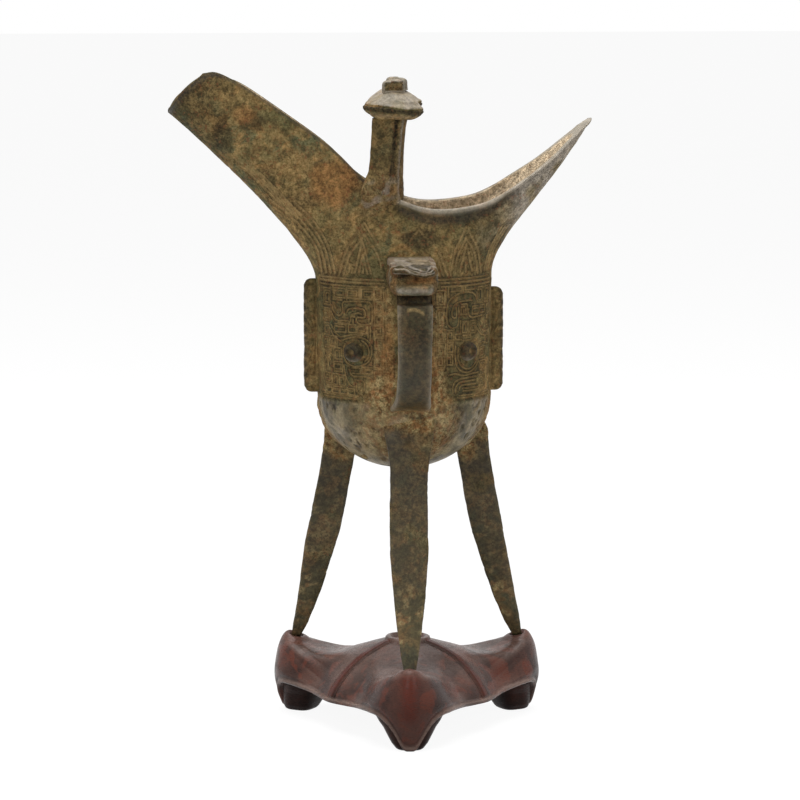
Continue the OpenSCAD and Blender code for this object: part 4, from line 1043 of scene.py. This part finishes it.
def build_head():
    z = np.linspace(0, 1, 130)
    top_z = 12.4
    mm = -0.6 + z * (top_z + 0.6)
    heights = HEAD_Z + mm
    levels = [-0.6, 0.0, 1.1, 1.7, 2.8, 4.2, 4.9, 6.0, 7.4, 8.2, 9.2, 10.1, 10.8, 11.5, 12.0, 12.4]

    def profile(values):
        """A measure of the head by height, with softened corners"""
        return np.convolve(np.pad(np.interp(mm, levels, values), 2, "edge"), np.ones(5) / 5,
                           "valid")
    front = profile([37.5, 38.4, 38.8, 42.6, 43.7, 43.4, 41.6, 40.9, 40.7, 41.6, 42.2, 40.8, 38.0,
                     34.0, 30.5, 27.0])
    slim = profile([4.6, 5.2, 5.5, 5.9, 6.0, 6.1, 6.2, 6.3, 6.3, 6.4, 6.5, 6.4, 6.3, 6.2, 6.2, 6.0])
    wide = profile([4.6, 5.2, 5.7, 6.6, 7.2, 7.6, 8.0, 8.0, 8.0, 7.9, 7.8, 7.7, 7.6, 7.5, 7.3, 6.8])
    a = circle(3000)
    sx, sy = squared(a, 0.34, 0.45)
    sx, sy = even(sx * 6.2, sy * 9, 200)
    sx, sy = sx / 6.2, sy / 9
    p = np.zeros((len(z), len(sx), 3))
    back = 21.5
    p[..., 1] = -(mix(back, front[:, None], (sy + 1) / 2))
    p[..., 0] = sx * mix(slim[:, None], wide[:, None], rise(front[:, None] + p[..., 1], 0.8, 3.4))
    p[..., 2] = heights[:, None]
    x, y = p[..., 0], p[..., 1]
    n = facing_out(p, p.mean(1, keepdims=True))
    ahead = ease((3.0 - (front[:, None] + y)) / 1.6)
    Z = over(p, mm[:, None])
    ledge = np.sin(x * 0.55 + 0.4) * 0.35 + 0.75 * clouds(p, 4.2, 3, 61) + 0.06 * x
    dimple = hill(np.hypot(x - 0.4, (Z - 6.3) * 1.1), 0, 0.8) * ahead
    boss = hill(np.hypot(x - 4.3, Z - 6.6), 0, 1.0) * ahead
    eye = hill(np.hypot(x + 4.9, (Z - 6.9)), 0, 1.1) * ahead
    nose = hill(x, 0.2, 3.2) * hill(Z, 3.2, 1.6) * ahead
    cheek = hill(np.abs(x), 6.0, 0.9) * hill(Z, 6.4, 2.2) * ahead
    side = over(p, ((np.abs(sx) > 0.9) & (sy > -0.9)) * 1.0)
    ear = side * (hill(y, -30.5, 1.0) + hill(y, -35.2, 0.8)) * rise(Z, 3, 1) * ease(11 - Z)
    brow = hill(Z + ledge, 8.7, 0.75) * ahead
    under = hill(Z + ledge, 7.2, 0.55) * ahead
    crown = hill(Z + ledge * 1.4, 10.3, 0.4) * ahead
    shift = (-1.0 * dimple + 0.75 * boss + 0.6 * eye + 0.45 * nose + 0.55 * cheek - 0.7 * ear
             + 0.6 * brow - 0.65 * under
             - 0.5 * crown + clouds(p, 1.7, 3, 62) * 0.2 + clouds(p, 5, 2, 63) * 0.25)
    p = push(p, n, shift)
    top = ease((Z - 9.9 + 0.4 * ledge) / 0.6)
    # The snout's lower edge is pale, a painted highlight; below the head the slot is painted dark,
    # a painted shadow under the snout
    lip = hill(Z, 3.0, 1.2) * ahead
    mouth = 1 - rise(Z, 1.3, 0.4)
    hollow = hill(Z, 6.1, 1.5) * ahead
    waves = (sum(hill(Z + ledge * w, level, 0.17) for level,
                 w in ((8.1, 1.0), (9.0, 0.8), (9.8, 1.3), (10.8, 1.6))) * ahead)
    wrinkled = rise(Z, 7.4, 0.5) * (1 - rise(Z, 10.6, 0.5)) * ahead
    blotch = patches(p, 2.6, 3, 65, 0.12, 0.2)
    left = hill(x, -4.4, 1.9) * hill(Z, 7.0, 2.0) * ahead
    rib = side * (hill(y, -32.8, 0.6) + hill(y, -37.2, 0.6)) * rise(Z, 3, 1)
    marks = {
        "pale": clamp(0.6 * top * (1 - blotch) * (1 - wrinkled)
                      * (0.85 + 0.5 * clouds(p, 2.4, 3, 64))
                                + 0.8 * lip * (0.85 + 0.6 * clouds(p, 1.8, 3, 66)) + 0.8 * waves
                      + 0.5 * rib),
        "dark": clamp(0.85 * under + 0.9 * dimple + 0.8 * ear + 0.75 * crown + mouth + 0.7 * left
                      + 0.75 * wrinkled * (1 - waves)
                                + 0.75 * top * blotch + 0.6 * side * (1 - rib)),
        "ochre": clamp(0.3 * top), "warm": clamp(0.8 * hollow * (1 - left)
                                                 + 0.25 * side * (1 - rib)),
        "crust": clamp(0.25 * hollow * (1 - left)),
        "skin": 0.2 * top, "rub": clamp(0.5 * top + 0.7 * lip + 0.6 * waves)}
    loft_piece("ox_head", p, "vessel", "dark_bronze", marks, "handle_head")


# ---- Posts, caps and knobs
def post_spot(side):
    """Where a post stands"""
    far = side > 0
    return np.array([POST_X + (FAR_SHIFT if far else 0), side * POST_Y, -FAR_DROP if far else 0.0])


def build_post(side, name):
    z_rim = float(rim_z(POST_X))
    shape = np.array([[-3.8, -3.45], [-1.2, -3.65], [1.6, -3.4], [2.4, -2.8], [3.3, -3.15],
                      [4.5, -2.9], [5.0, -1.3], [4.2, 1.2], [3.2, 3.0],
                      [1.4, 3.45], [-1.6, 3.4], [-3.4, 2.6], [-5.0, -1.2], [-4.8, -2.8]])
    ring = along(np.concatenate([shape, shape[:1]]), np.linspace(0, 1, 97))[:-1]
    zs = np.concatenate([np.linspace(z_rim - 7.5, z_rim + 8, 46),
                         np.linspace(z_rim + 8.4, CAP_Z + 0.4, 60)])
    foot = 1 - rise(zs - z_rim, 1, 7.0)
    sink = 1 - rise(zs - z_rim, -6.5, 6.5)
    top = rise(zs - CAP_Z, -5, 5)
    lean = POST_LEAN * clamp((zs - z_rim - 2) / (CAP_Z - z_rim - 2))
    p = np.zeros((len(zs), len(ring), 3))
    left = ring[:, 0] < 0
    p[..., 0] = (ring[:, 0] * (1 + np.where(left, 0.42, 0.12) * foot[:, None]
                               + 0.05 * top[:, None]) + lean[:, None])
    p[..., 1] = ring[:, 1] * (1 + 0.12 * foot[:, None])
    p[..., 1] += clamp(-ring[:, 1] / 3) * sink[:, None] * 3.4
    p[..., 2] = zs[:, None]
    p[..., 1] *= -side
    p = p + post_spot(side)
    n = facing_out(p, p.mean(1, keepdims=True))
    F = over(p, foot[:, None])
    p = push(p, n, clouds(p, 2.2, 3, 71) * 0.16 + clouds(p, 7, 2, 72) * 0.25
             + F * clouds(p, 2.6, 3, 73) * 0.4)
    # Painted shade in the notch of the post's front and a painted highlight on the front's corner
    # toward the tail; below, painted shade where the foot meets the rim
    notch_shade = over(p, hill(ring[:, 0], 2.4, 0.8) * (ring[:, 1] < 0))
    corner_highlight = over(p, hill(ring[:, 0], 4.7, 0.6) * (ring[:, 1] < 0))
    shade = over(p, hill(zs, z_rim + 1.2, 1.4)[:, None] * hill(ring[:, 0], 0.2, 3))
    marks = {
        "dark": clamp(notch_shade * 0.85 * (1 - F) + 0.3 + 0.4 * clouds(p, 4, 3, 74) + 0.8 * shade),
        "ochre": clamp(0.45 + 0.3 * F + 0.4 * clouds(p, 5, 2, 76)), "crust": clamp(F * 0.35),
        "rub": 0.15,
        "pale": clamp(corner_highlight * 0.6 + F * patches(p, 3, 2, 75, 0.1, 0.3) * 0.5)}
    loft_piece("pillar" + name, p, "vessel", "dark_bronze", marks, "post" + name)


def build_cap(side, name):
    cap = post_spot(side) + [POST_LEAN + (CAP_SHIFT if side < 0 else 0), 0, CAP_Z]
    r = CAP_D / 2
    line = [[0.02, 0], [r * 0.4, 0.0], [r * 0.6, 0.1], [r - 2.9, 0.5], [r - 1.4, 1.5],
            [r - 0.4, 2.5], [r - 0.02, 3.1], [r - 0.1, 3.8],
            [r - 0.7, 4.35], [r - 1.4, 5.0], [r * 0.78, 6.0], [r * 0.64, 7.1], [r * 0.5, 8.0],
            [r * 0.36, 8.7], [r * 0.2, 9.0], [0.02, 9.0]]
    q = along(line, np.linspace(0, 1, 100))
    a = circle(140)
    p = np.zeros((len(q), len(a), 3))
    wobble = 1 + 0.014 * np.sin(a * 3 + 1) + 0.01 * np.sin(a * 7)
    p[..., 0] = q[:, :1] * np.cos(a) * wobble
    p[..., 1] = q[:, :1] * np.sin(a) * wobble
    edge = rise(q[:, :1], 4, 4)
    p[..., 2] = q[:, 1:] + 0.075 * side * p[..., 0] * edge * (1 - 0.6 * rise(q[:, 1:], 4, 3))
    p = p + cap
    n = facing_out(p, cap + [0, 0, 4])
    Z = over(p, q[:, 1:])
    X = p[..., 0] - cap[0]
    crease = 4.0 - 0.35 * rise(X, -2, 6) + 0.35 * clouds(p, 3, 3, 85)
    p = push(p, n, clouds(p, 2.0, 3, 81) * 0.13 + clouds(p, 6, 2, 82) * 0.25
             - hill(Z, crease, 0.35) * 0.35
                 + hill(Z, crease + 0.8, 0.5) * 0.2)
    domed = rise(Z - crease, 0.2, 0.4)
    band = ease((crease - Z) / 0.3) * ease((Z - 1.9 + 0.5 * rise(X, 2, 4)) / 0.8)
    marks = {
        "pale": clamp(domed * (0.68 + 0.9 * clouds(p, 3, 3, 84)) + 0.2 * hill(Z, 1.2, 0.8)),
        "dark": clamp(band * 0.95 + 0.5 * hill(Z, crease, 0.3)), "rub": domed * 0.6,
        "ochre": hill(Z, 0.8, 1.1) * 0.9,
        "skin": 0.3 * domed}
    loft_piece("capital" + name, p, "vessel", "bronze", marks, "cap" + name)
    # The knob: a block with a rounded top, its outer side left rough
    knob = cap + [FAR_KNOB if side > 0 else 0, 0, CAP_H]
    a = circle(88)
    k = along([[3.7, -0.5], [3.6, 0.3], [3.55, 1.6], [3.5, 2.6], [3.1, 3.4], [2.2, 3.8],
               [1.0, 3.9], [0.05, 3.9]], np.linspace(0, 1, 48))
    p = np.zeros((len(k), len(a), 3))
    cx, cy = squared(a, 0.5, 0.5)
    p[..., 0] = k[:, :1] * cx
    p[..., 1] = k[:, :1] * cy * 0.94
    p[..., 2] = k[:, 1:] - 0.3 * (cx * side > 0.3) * (k[:, 1:] > 2)
    p = p + knob
    n = facing_out(p, knob + [0, 0, 1.5])
    K = over(p, k[:, 1:])
    outside = over(p, rise(cy * side, 0.6, 0.25)) * rise(K, 0.2, 0.3) * ease((3.4 - K) / 0.3)
    outside = outside * (np.abs(p[..., 0] - knob[0]) < 3.0)
    p = push(p, n, clouds(p, 1.6, 3, 86) * 0.12 - outside * (0.45 + 0.4 * clouds(p, 0.8, 2, 87)))
    marks = {
        "dark": clamp(outside * 0.8 + 0.2 * ease(1 - K)), "pale": clamp(0.7 * (1 - outside)),
        "rub": 0.4 * (1 - outside), "ochre": 0.6 * outside, "crust": 0.3 * outside,
        "skin": 0.2 * (1 - outside)}
    loft_piece("finial" + name, p, "vessel", "dark_bronze", marks, "knob" + name)


# ---- Flanges and eyes
def build_flange(angle, reach, height, name):
    out, thick, z0 = 4.9, 2.8, 112.0
    a = circle(240)
    r = 2.6
    cx, cy = np.cos(a), np.sin(a)
    w, h = out + 3.2, height
    k = 1 / np.maximum(np.abs(cx) / (w / 2), np.abs(cy) / (h / 2))
    u, v = cx * k, cy * k
    iu, iv = np.clip(u, -w / 2 + r, w / 2 - r), np.clip(v, -h / 2 + r, h / 2 - r)
    du, dv = u - iu, v - iv
    length = np.maximum(np.hypot(du, dv), 1e-6)
    u = np.where(length > r, iu + du / length * r, u)
    v = np.where(length > r, iv + dv / length * r, v)
    shares = np.array([0.0, 0.25, 0.5, 0.7, 0.82, 0.9, 0.95, 0.985, 1.0])
    sides = []
    for face in (-1, 1):
        order = shares if face < 0 else shares[::-1]
        for q in order:
            edge = max(0.0, (q - 0.8) / 0.2)
            drop = 0.5 * thick - 0.7 * (1 - math.sqrt(max(0, 1 - edge ** 2)))
            sides.append(np.stack([u * q, np.full_like(u, face * drop), v * q], 1))
    p = np.array(sides)
    notch = np.zeros(p.shape[:2])
    for j in range(1, 10):
        notch = np.maximum(notch, hill(p[..., 2] + height / 2, j * height / 10, 0.42))
    notch = notch * rise(p[..., 0], 0.3, 0.5)
    line = hill(p[..., 0], 0.1, 0.35) * (np.abs(p[..., 2]) < height / 2 - 1.5)
    depth = clamp(notch + line) * (np.abs(p[..., 1]) > 0.6)
    p[..., 1] -= np.sign(p[..., 1]) * 0.4 * depth
    p[..., 0] -= 0.07 * notch * rise(p[..., 0], 3.2, 0.6)
    p[..., 0] += clouds(p + [reach, 0, 0], 5, 2, 91) * 0.2
    p = p + [reach + out - w / 2, 0, z0 + height / 2]
    p = turn(p, angle)
    wear = clouds(p, 6, 3, 92)
    p = p + (clouds(p, 2, 3, 93) * 0.1)[..., None] * [1, 1, 0]
    outer_edge = ease((np.linalg.norm(p[..., :2], axis=2) - reach - out + 1.8) / 1.4)
    marks = {
        "groove": depth * 0.7, "dark": clamp(outer_edge * 0.75 + 0.15 + 0.3 * wear),
        "ochre": clamp(0.35 + 0.5 * wear), "rub": outer_edge * 0.5, "skin": 0.2 * outer_edge}
    loft_piece("ridge" + name, p, "vessel", "bronze", marks, "flange" + name)


def build_eye(degrees, name):
    a = math.radians(degrees)
    f = mix(0.965, 1, (EYE_Z - BELLY) / (WAIST - BELLY))
    spot = np.array([HALF_LENGTH * f * math.cos(a), HALF_WIDTH * f * math.sin(a), EYE_Z])
    out = np.array([math.cos(a) / HALF_LENGTH, math.sin(a) / HALF_WIDTH, 0])
    out /= np.linalg.norm(out)
    across = np.array([-out[1], out[0], 0])
    line = along([[0.02, 1.35], [0.55, 1.3], [0.95, 1.5], [1.35, 2.05], [1.8, 2.3], [2.4, 2.05],
                  [2.95, 1.3], [3.3, 0.35], [3.45, -0.8]],
                 np.linspace(0, 1, 44))
    t = circle(64)
    p = (spot + line[:, 0][:, None, None] * (np.cos(t)[None, :, None] * across
                                             + np.sin(t)[None, :, None] * np.array([0, 0, 0.96]))
         + line[:, 1][:, None, None] * out)
    p = p + (clouds(p, 1.6, 3, 95) * 0.1)[..., None] * out
    q = over(p, line[:, :1])
    dark = clamp(hill(q, 2.2, 1.5) + 0.2 - 0.3 * hill(q, 0, 0.6))
    lower = over(p, ease((-np.sin(t) - 0.2) / 0.8)) * hill(q, 3.0, 0.7)
    marks = {
        "dark": clamp(dark - 0.6 * lower), "ochre": hill(q, 0, 0.8) * 0.9, "rub": 0.4,
        "pale": lower * 0.5, "skin": 0.2,
        "groove": hill(q, 0, 0.7) * 0.7}
    loft_piece("pupil" + name, p, "vessel", "dark_bronze", marks, "eye" + name)


# ---- Stand
def build_stand():
    n, m = 900, 150
    a = circle(n)
    A, F = np.meshgrid(a, np.linspace(0.012, 1, m))
    bay = [[0, 1], [0.195, 0.987], [0.325, 0.94], [0.455, 0.86], [0.585, 0.76], [0.715, 0.615],
           [0.83, 0.44], [0.915, 0.27], [0.975, 0.11], [1, 0]]
    lobe = [[0, 1], [0.12, 0.99], [0.24, 0.9], [0.38, 0.77], [0.52, 0.66], [0.66, 0.67],
            [0.8, 0.77], [0.935, 0.775], [0.995, 0.35], [0.97, 0]]
    share = np.array([1, 1, 1.1, 1.4, 1.8, 2.4, 3.2, 3.4, 2.5, 2.5])
    weight = (1 + np.cos(3 * (A - LEG_ANGLES[0]))) / 2
    p = weight ** np.interp(F, np.linspace(0, 1, 10), share)
    b, l = along(bay, F), along(lobe, F)
    peak = SKIRT + (LOBE_Z - SKIRT) / 0.775
    top = mix(STAND_H, mix(STAND_H, peak, ease(F / 0.6)), p)
    r = mix(b[..., 0] * BAY_R, l[..., 0] * LOBE_R, p)
    z = mix(SKIRT, top, mix(b[..., 1], l[..., 1], p))
    # The edge: level between the lobes, rising beside each foot and running down its front
    off = (A - LEG_ANGLES[0] + np.pi / 3) % (2 * np.pi / 3) - np.pi / 3
    across = np.abs(np.sin(off)) * r
    knots = np.linspace(0, 30, 301)
    level = np.interp(knots, [0, 1.6, 2.6, 4.7, 7, 9.2, 11.4, 14, 17, 20, 26, 30],
                      [0, 0, 1.0, 4.8, 8.2, 10.0, 10.8, 10.8, 10.3, 9.8, 9.5, 9.5])
    level = np.convolve(np.pad(level, 8, "edge"), np.ones(17) / 17, "valid")
    drop = rise(F, 0.8, 0.2)
    z = z + (np.interp(across, knots, level) - SKIRT) * drop ** 1.5
    nose = np.where(np.abs(A - LEG_ANGLES[0] - 2 * np.pi) < 1, 0.4, 1.9)
    r = r - nose * ease((11 - z) / 11) * rise(weight, 0.6, 0.4) * drop
    shell = np.stack([r * np.cos(A), r * np.sin(A), z], -1)

    normals = grid_normals(shell)
    if normals[20, :, 2].mean() < 0:
        normals = -normals
    steps = np.linalg.norm(np.diff(shell[::-1], axis=0), axis=2)
    from_edge = np.concatenate([np.zeros((1, n)), np.cumsum(steps, axis=0)])[::-1]
    bead = hill(from_edge, 0.75, 0.6) * 0.5 - hill(from_edge, 2.1, 0.7) * 0.22
    ribs = np.full(A.shape, 99.0)
    for k in (-150, -30, 90):
        off_rib = (A - math.radians(k - 4.2) + np.pi) % (2 * np.pi) - np.pi
        d = np.where(np.abs(off_rib) < 1, np.abs(np.sin(off_rib)) * r, 99)
        ribs = np.minimum(ribs, d)
    on_rib = (1 - rise(ribs, 0.9, 0.45)) * rise(r, 7, 1) * rise(from_edge, 1.6, 0.6)
    beside_rib = hill(ribs, 1.75, 0.45) * rise(r, 7, 1) * rise(from_edge, 1.5, 1)
    # Slopes that face up, which get a pale grey: partly dust, partly painted sheen of the light
    # from above
    dust_and_sheen = ease((np.abs(normals[..., 2]) - 0.45) / 0.35) * (1 - on_rib)
    ring = 1 - ease((np.abs(r - 6.6) - 0.75) / 0.4)
    along_lobe = r * np.cos(off)
    across_lobe = r * np.sin(off)
    to_socket = np.hypot(along_lobe - LEG_TIP_R, across_lobe)
    collar = 1 - rise(to_socket, 3.0, 2.6)
    pilaster = hill(across_lobe, 0, 2.9) * ease((along_lobe - LEG_TIP_R) / 3) * rise(z, 7, 6)
    shift = bead + on_rib * 0.65 - beside_rib * 0.35 + pilaster
    shell = shell + normals * shift[..., None]
    shell[..., 2] += ring * 1.15 - 0.25 * (r < 5.6) + collar * 0.9
    seat = 1 - rise(to_socket, 2.05, 0.35)
    shell[..., 2] -= seat * np.maximum(0, shell[..., 2] - (LOBE_Z - 0.1))
    shell = (shell + normals * (clouds(shell, 5, 2, 101) * 0.12
                                + clouds(shell, 14, 2, 102) * 0.25)[..., None]
             * rise(z, 3, 3)[..., None])
    shell[..., 2] = np.maximum(shell[..., 2], 0)
    # The edge's lip and the hollow underside
    end = shell[-1]
    inward = -end * [1, 1, 0]
    inward /= np.linalg.norm(inward, axis=1, keepdims=True)
    lips = [end + inward * 0.5, end + inward * 1.5 + [0, 0, 0.15], end + inward * 2.6 + [0, 0, 0.6]]
    flat = np.maximum(lips[-1][:, 2], 9.4)
    lips.append(np.stack([lips[-1][:, 0] * 0.97, lips[-1][:, 1] * 0.97, flat], 1))
    for q in (0.8, 0.55, 0.3, 0.12):
        lips.append(np.stack([lips[-1][:, 0] * q, lips[-1][:, 1] * q, np.full(n, 9.6)], 1))
    rows = np.concatenate([shell, np.array(lips)])
    points = np.concatenate([rows.reshape(-1, 3), [[0, 0, STAND_H - 0.25]], [[0, 0, 9.6]]])
    points = points + [LEG_SHIFT, 0, 0]
    pad = np.zeros(len(lips) * n + 2)
    marks = {
        # Redder on the pilasters, ribs and socket collars: partly the wood's tone, partly painted
        # highlight on these ridges
        "red": np.append(clamp(pilaster * 1.2 + on_rib * 0.9 + collar * 0.8), pad),
        # Greyish along the edge's bead, partly wear and partly painted highlight; on upward slopes,
        # dust and painted sheen
        "edge": np.append(clamp(hill(from_edge, 1.1, 0.7) * 0.75 + beside_rib * 0.12 + ring * 0.25
                                + 0.33 * dust_and_sheen), pad),
        # Dark: painted shade in the socket under each leg's tip, below the edge's bead and on the
        # hollow underside; darker too beside the ribs and toward the bottom of each lobe's front
        "dark": np.append(clamp(seat + beside_rib * 0.55 + hill(from_edge, 2.2, 0.6) * 0.2
                                + 0.35 * rise(along_lobe, 38, 8) * ease((20 - z) / 8)),
                          pad + 0.7)}
    make_piece("carved_stand", points, closed_faces(len(rows), n), "stand", "wood", marks,
               ("stand_top", "stand_boss", "rib_near_spout", "rib_near_tail", "rib_back",
                "socket_front", "socket_spout", "socket_tail"))


def build_foot(i, name):
    """A foot under a lobe: its outer side follows the skirt's edge a little way in"""
    zs = np.array([0, 0.3, 0.9, 1.8, 3.2, 4.8, 6.6, 8.4, 9.9])
    half = np.interp(zs, [0, 0.3, 0.9, 1.8, 4.2, 6.5, 9.0, 9.9],
                     [4.2, 4.7, 5.2, 6.0, 7.4, 8.6, 10.6, 11.0])
    r_in = np.interp(zs, [0, 0.3, 0.9, 2, 4, 7, 9.9], [37.4, 36.8, 36.2, 35.6, 34.6, 33.6, 33.0])
    turns = np.linspace(0, math.pi / 4, 60)
    plan = mix(BAY_R, 0.97 * LOBE_R, ((1 + np.cos(3 * turns)) / 2) ** 2.5)
    inset = np.interp(zs, [0, 0.3, 1, 9.9], [2.9, 2.4, 2.0, 1.2]) - (1.2 if i == 0 else 0)
    a = circle(128)
    cx, cy = squared(a, 0.6, 0.6)
    dense = np.linspace(0, len(zs) - 1, 60)
    pick = lambda v: np.interp(dense, np.arange(len(zs)), v)
    Z, H, RI, IN = pick(zs), pick(half), pick(r_in), pick(inset)
    p = np.zeros((60, 128, 3))
    p[..., 1] = cy * H[:, None]
    outer = np.interp(np.abs(p[..., 1]), plan * np.sin(turns), plan * np.cos(turns)) - IN[:, None]
    p[..., 0] = mix(RI[:, None], np.maximum(outer, RI[:, None] + 2), (cx + 1) / 2)
    p[..., 2] = Z[:, None]
    p = turn(p, LEG_ANGLES[i]) + [LEG_SHIFT, 0, 0]
    points, faces = loft(p)
    # The whole foot is painted dark: painted shade under the skirt
    make_piece("carved_" + name, points, faces, "stand", "wood",
               {"dark": np.full(len(points), 0.9)}, (name,))


build_wall()
for panel, panel_near, panel_way in (("band_near_spout", True, -1), ("band_near_tail", True, 1),
                                     ("band_far_spout", False, -1), ("band_far_tail", False, 1)):
    build_panel(panel, panel_near, panel_way)
for i, name in enumerate(("leg_front", "leg_spout", "leg_tail")):
    build_leg(i, name)
build_strap()
build_head()
for side, name in ((-1, "_near"), (1, "_far")):
    build_post(side, name)
    build_cap(side, name)
for angle, reach, height, name in ((math.pi, HALF_LENGTH - 1, 37.8, "_spout"),
                                   (0, HALF_LENGTH - 1, 34.6, "_tail"),
                                   (math.pi / 2, HALF_WIDTH - 1, 34.6, "_back")):
    build_flange(angle, reach, height, name)
for degrees, name in ((-90 + MASK_TURN - EYE_TURN, "_near_spout"),
                      (-90 + MASK_TURN + EYE_TURN, "_near_tail"),
                      (90 + MASK_TURN + EYE_TURN, "_far_spout"),
                      (90 + MASK_TURN - EYE_TURN, "_far_tail")):
    build_eye(degrees, name)
build_stand()
for i, name in enumerate(("foot_front", "foot_spout", "foot_tail")):
    build_foot(i, name)

# Nodes that a piece stands for keep a finish too
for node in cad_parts:
    o = bpy.data.objects.get(node)
    if o is not None and o.type == "MESH":
        stand_node = node.startswith(("stand", "rib", "foot", "socket"))
        for s in o.material_slots:
            s.material = FINISH["wood" if stand_node else "bronze"]


# ---- Floor, light and camera
FLOOR_HALF = 6                      # half the floor's size in metres
GLOW_SHARE, SKY_LIGHT = 0.88, 0.24  # how much of the floor's look is glow, and the world's light
def plant(tree, *kinds):
    """Empties a node tree and puts in a node of each kind"""
    tree.nodes.clear()
    return [tree.nodes.new("ShaderNode" + kind) for kind in kinds]


def wire(tree, *links):
    """Links outputs to inputs"""
    for output, socket in links:
        tree.links.new(output, socket)


def stage_material():
    """A pale floor, which glows evenly where the camera or a shiny surface sees it"""
    m = bpy.data.materials.new("pale_floor")
    m.use_nodes = True
    out, mixer, diffuse, glow, path, seen, share = plant(
        m.node_tree, "OutputMaterial", "MixShader", "BsdfDiffuse", "Emission", "LightPath", "Math",
        "Math")
    diffuse.inputs["Color"].default_value = (0.86, 0.86, 0.86, 1)
    glow.inputs["Color"].default_value = (1, 1, 1, 1)
    glow.inputs["Strength"].default_value = 1.05
    seen.operation, share.operation = "MAXIMUM", "MULTIPLY"
    share.inputs[1].default_value = GLOW_SHARE
    wire(m.node_tree, (path.outputs["Is Camera Ray"], seen.inputs[0]),
         (path.outputs["Is Glossy Ray"], seen.inputs[1]),
         (seen.outputs[0], share.inputs[0]), (share.outputs[0], mixer.inputs[0]),
         (diffuse.outputs[0], mixer.inputs[1]),
         (glow.outputs[0], mixer.inputs[2]), (mixer.outputs[0], out.inputs[0]))
    return m


floor_mesh = bpy.data.meshes.new("floor")
corners = [(x * FLOOR_HALF, y * FLOOR_HALF, 0) for x, y in ((-1, -1), (1, -1), (1, 1), (-1, 1))]
floor_mesh.from_pydata(corners, [], [(0, 1, 2, 3)])
floor = bpy.data.objects.new("floor", floor_mesh)
bpy.context.scene.collection.objects.link(floor)
floor_mesh.materials.append(stage_material())
floor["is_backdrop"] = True

# The world is white where it is seen, also in a shiny or a clear surface, and dim as a light
world = bpy.data.worlds.new("studio")
bpy.context.scene.world = world
world.use_nodes = True
out, sky, white, mixer, path, glossy, clear = plant(
    world.node_tree, "OutputWorld", "Background", "Background", "MixShader", "LightPath", "Math",
    "Math")
sky.inputs[0].default_value, sky.inputs[1].default_value = (1, 1, 1, 1), SKY_LIGHT
white.inputs[0].default_value, white.inputs[1].default_value = (1, 1, 1, 1), 1.0
glossy.operation = clear.operation = "MAXIMUM"
wire(world.node_tree, (path.outputs["Is Camera Ray"], glossy.inputs[0]),
     (path.outputs["Is Glossy Ray"], glossy.inputs[1]),
     (glossy.outputs[0], clear.inputs[0]), (path.outputs["Is Transmission Ray"], clear.inputs[1]),
     (clear.outputs[0], mixer.inputs[0]), (sky.outputs[0], mixer.inputs[1]),
     (white.outputs[0], mixer.inputs[2]),
     (mixer.outputs[0], out.inputs[0]))


def lamp(name, place, aim, size, power):
    """A square lamp at a place, turned toward a point"""
    data = bpy.data.lights.new(name, "AREA")
    data.shape, data.size, data.energy = "SQUARE", size, power
    o = bpy.data.objects.new(name, data)
    bpy.context.scene.collection.objects.link(o)
    o.location = place
    o.rotation_euler = (Vector(aim) - Vector(place)).to_track_quat("-Z", "Y").to_euler()


lamp("top", (-0.05, 0.1, 1.0), (0, 0, 0.1), 0.95, 14.5)
lamp("front_left", (-0.6, -0.95, 0.7), (0, 0, 0.11), 0.5, 2.9)
lamp("front_right", (0.85, -0.75, 0.7), (0, 0, 0.11), 0.5, 2.9)

AZIMUTH, ELEVATION, DISTANCE = math.radians(-5.0), math.radians(7.45), 1333.33
back = np.array([math.sin(AZIMUTH) * math.cos(ELEVATION), -math.cos(AZIMUTH) * math.cos(ELEVATION),
                 math.sin(ELEVATION)])
right = np.array([math.cos(AZIMUTH), math.sin(AZIMUTH), 0.0])
up = np.cross(back, right)
target = np.array([0, 0, 108.8]) - right * 1.17 + AXIS
spot = (target + back * DISTANCE) / 1000
camera_data = bpy.data.cameras.new("camera")
camera_data.lens, camera_data.sensor_width = 180, 36
camera_data.clip_start, camera_data.clip_end = 0.05, 50
camera = bpy.data.objects.new("camera", camera_data)
bpy.context.scene.collection.objects.link(camera)
camera.matrix_world = Matrix([[right[0], up[0], back[0], spot[0]],
                              [right[1], up[1], back[1], spot[1]],
                              [right[2], up[2], back[2], spot[2]], [0, 0, 0, 1]])
bpy.context.scene.camera = camera
bpy.context.scene.view_settings.view_transform = "Standard"

({"cad": [list(map(float, c)) for c in CAD_BOX],
           "visual": [list(map(float, c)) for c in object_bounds()]})
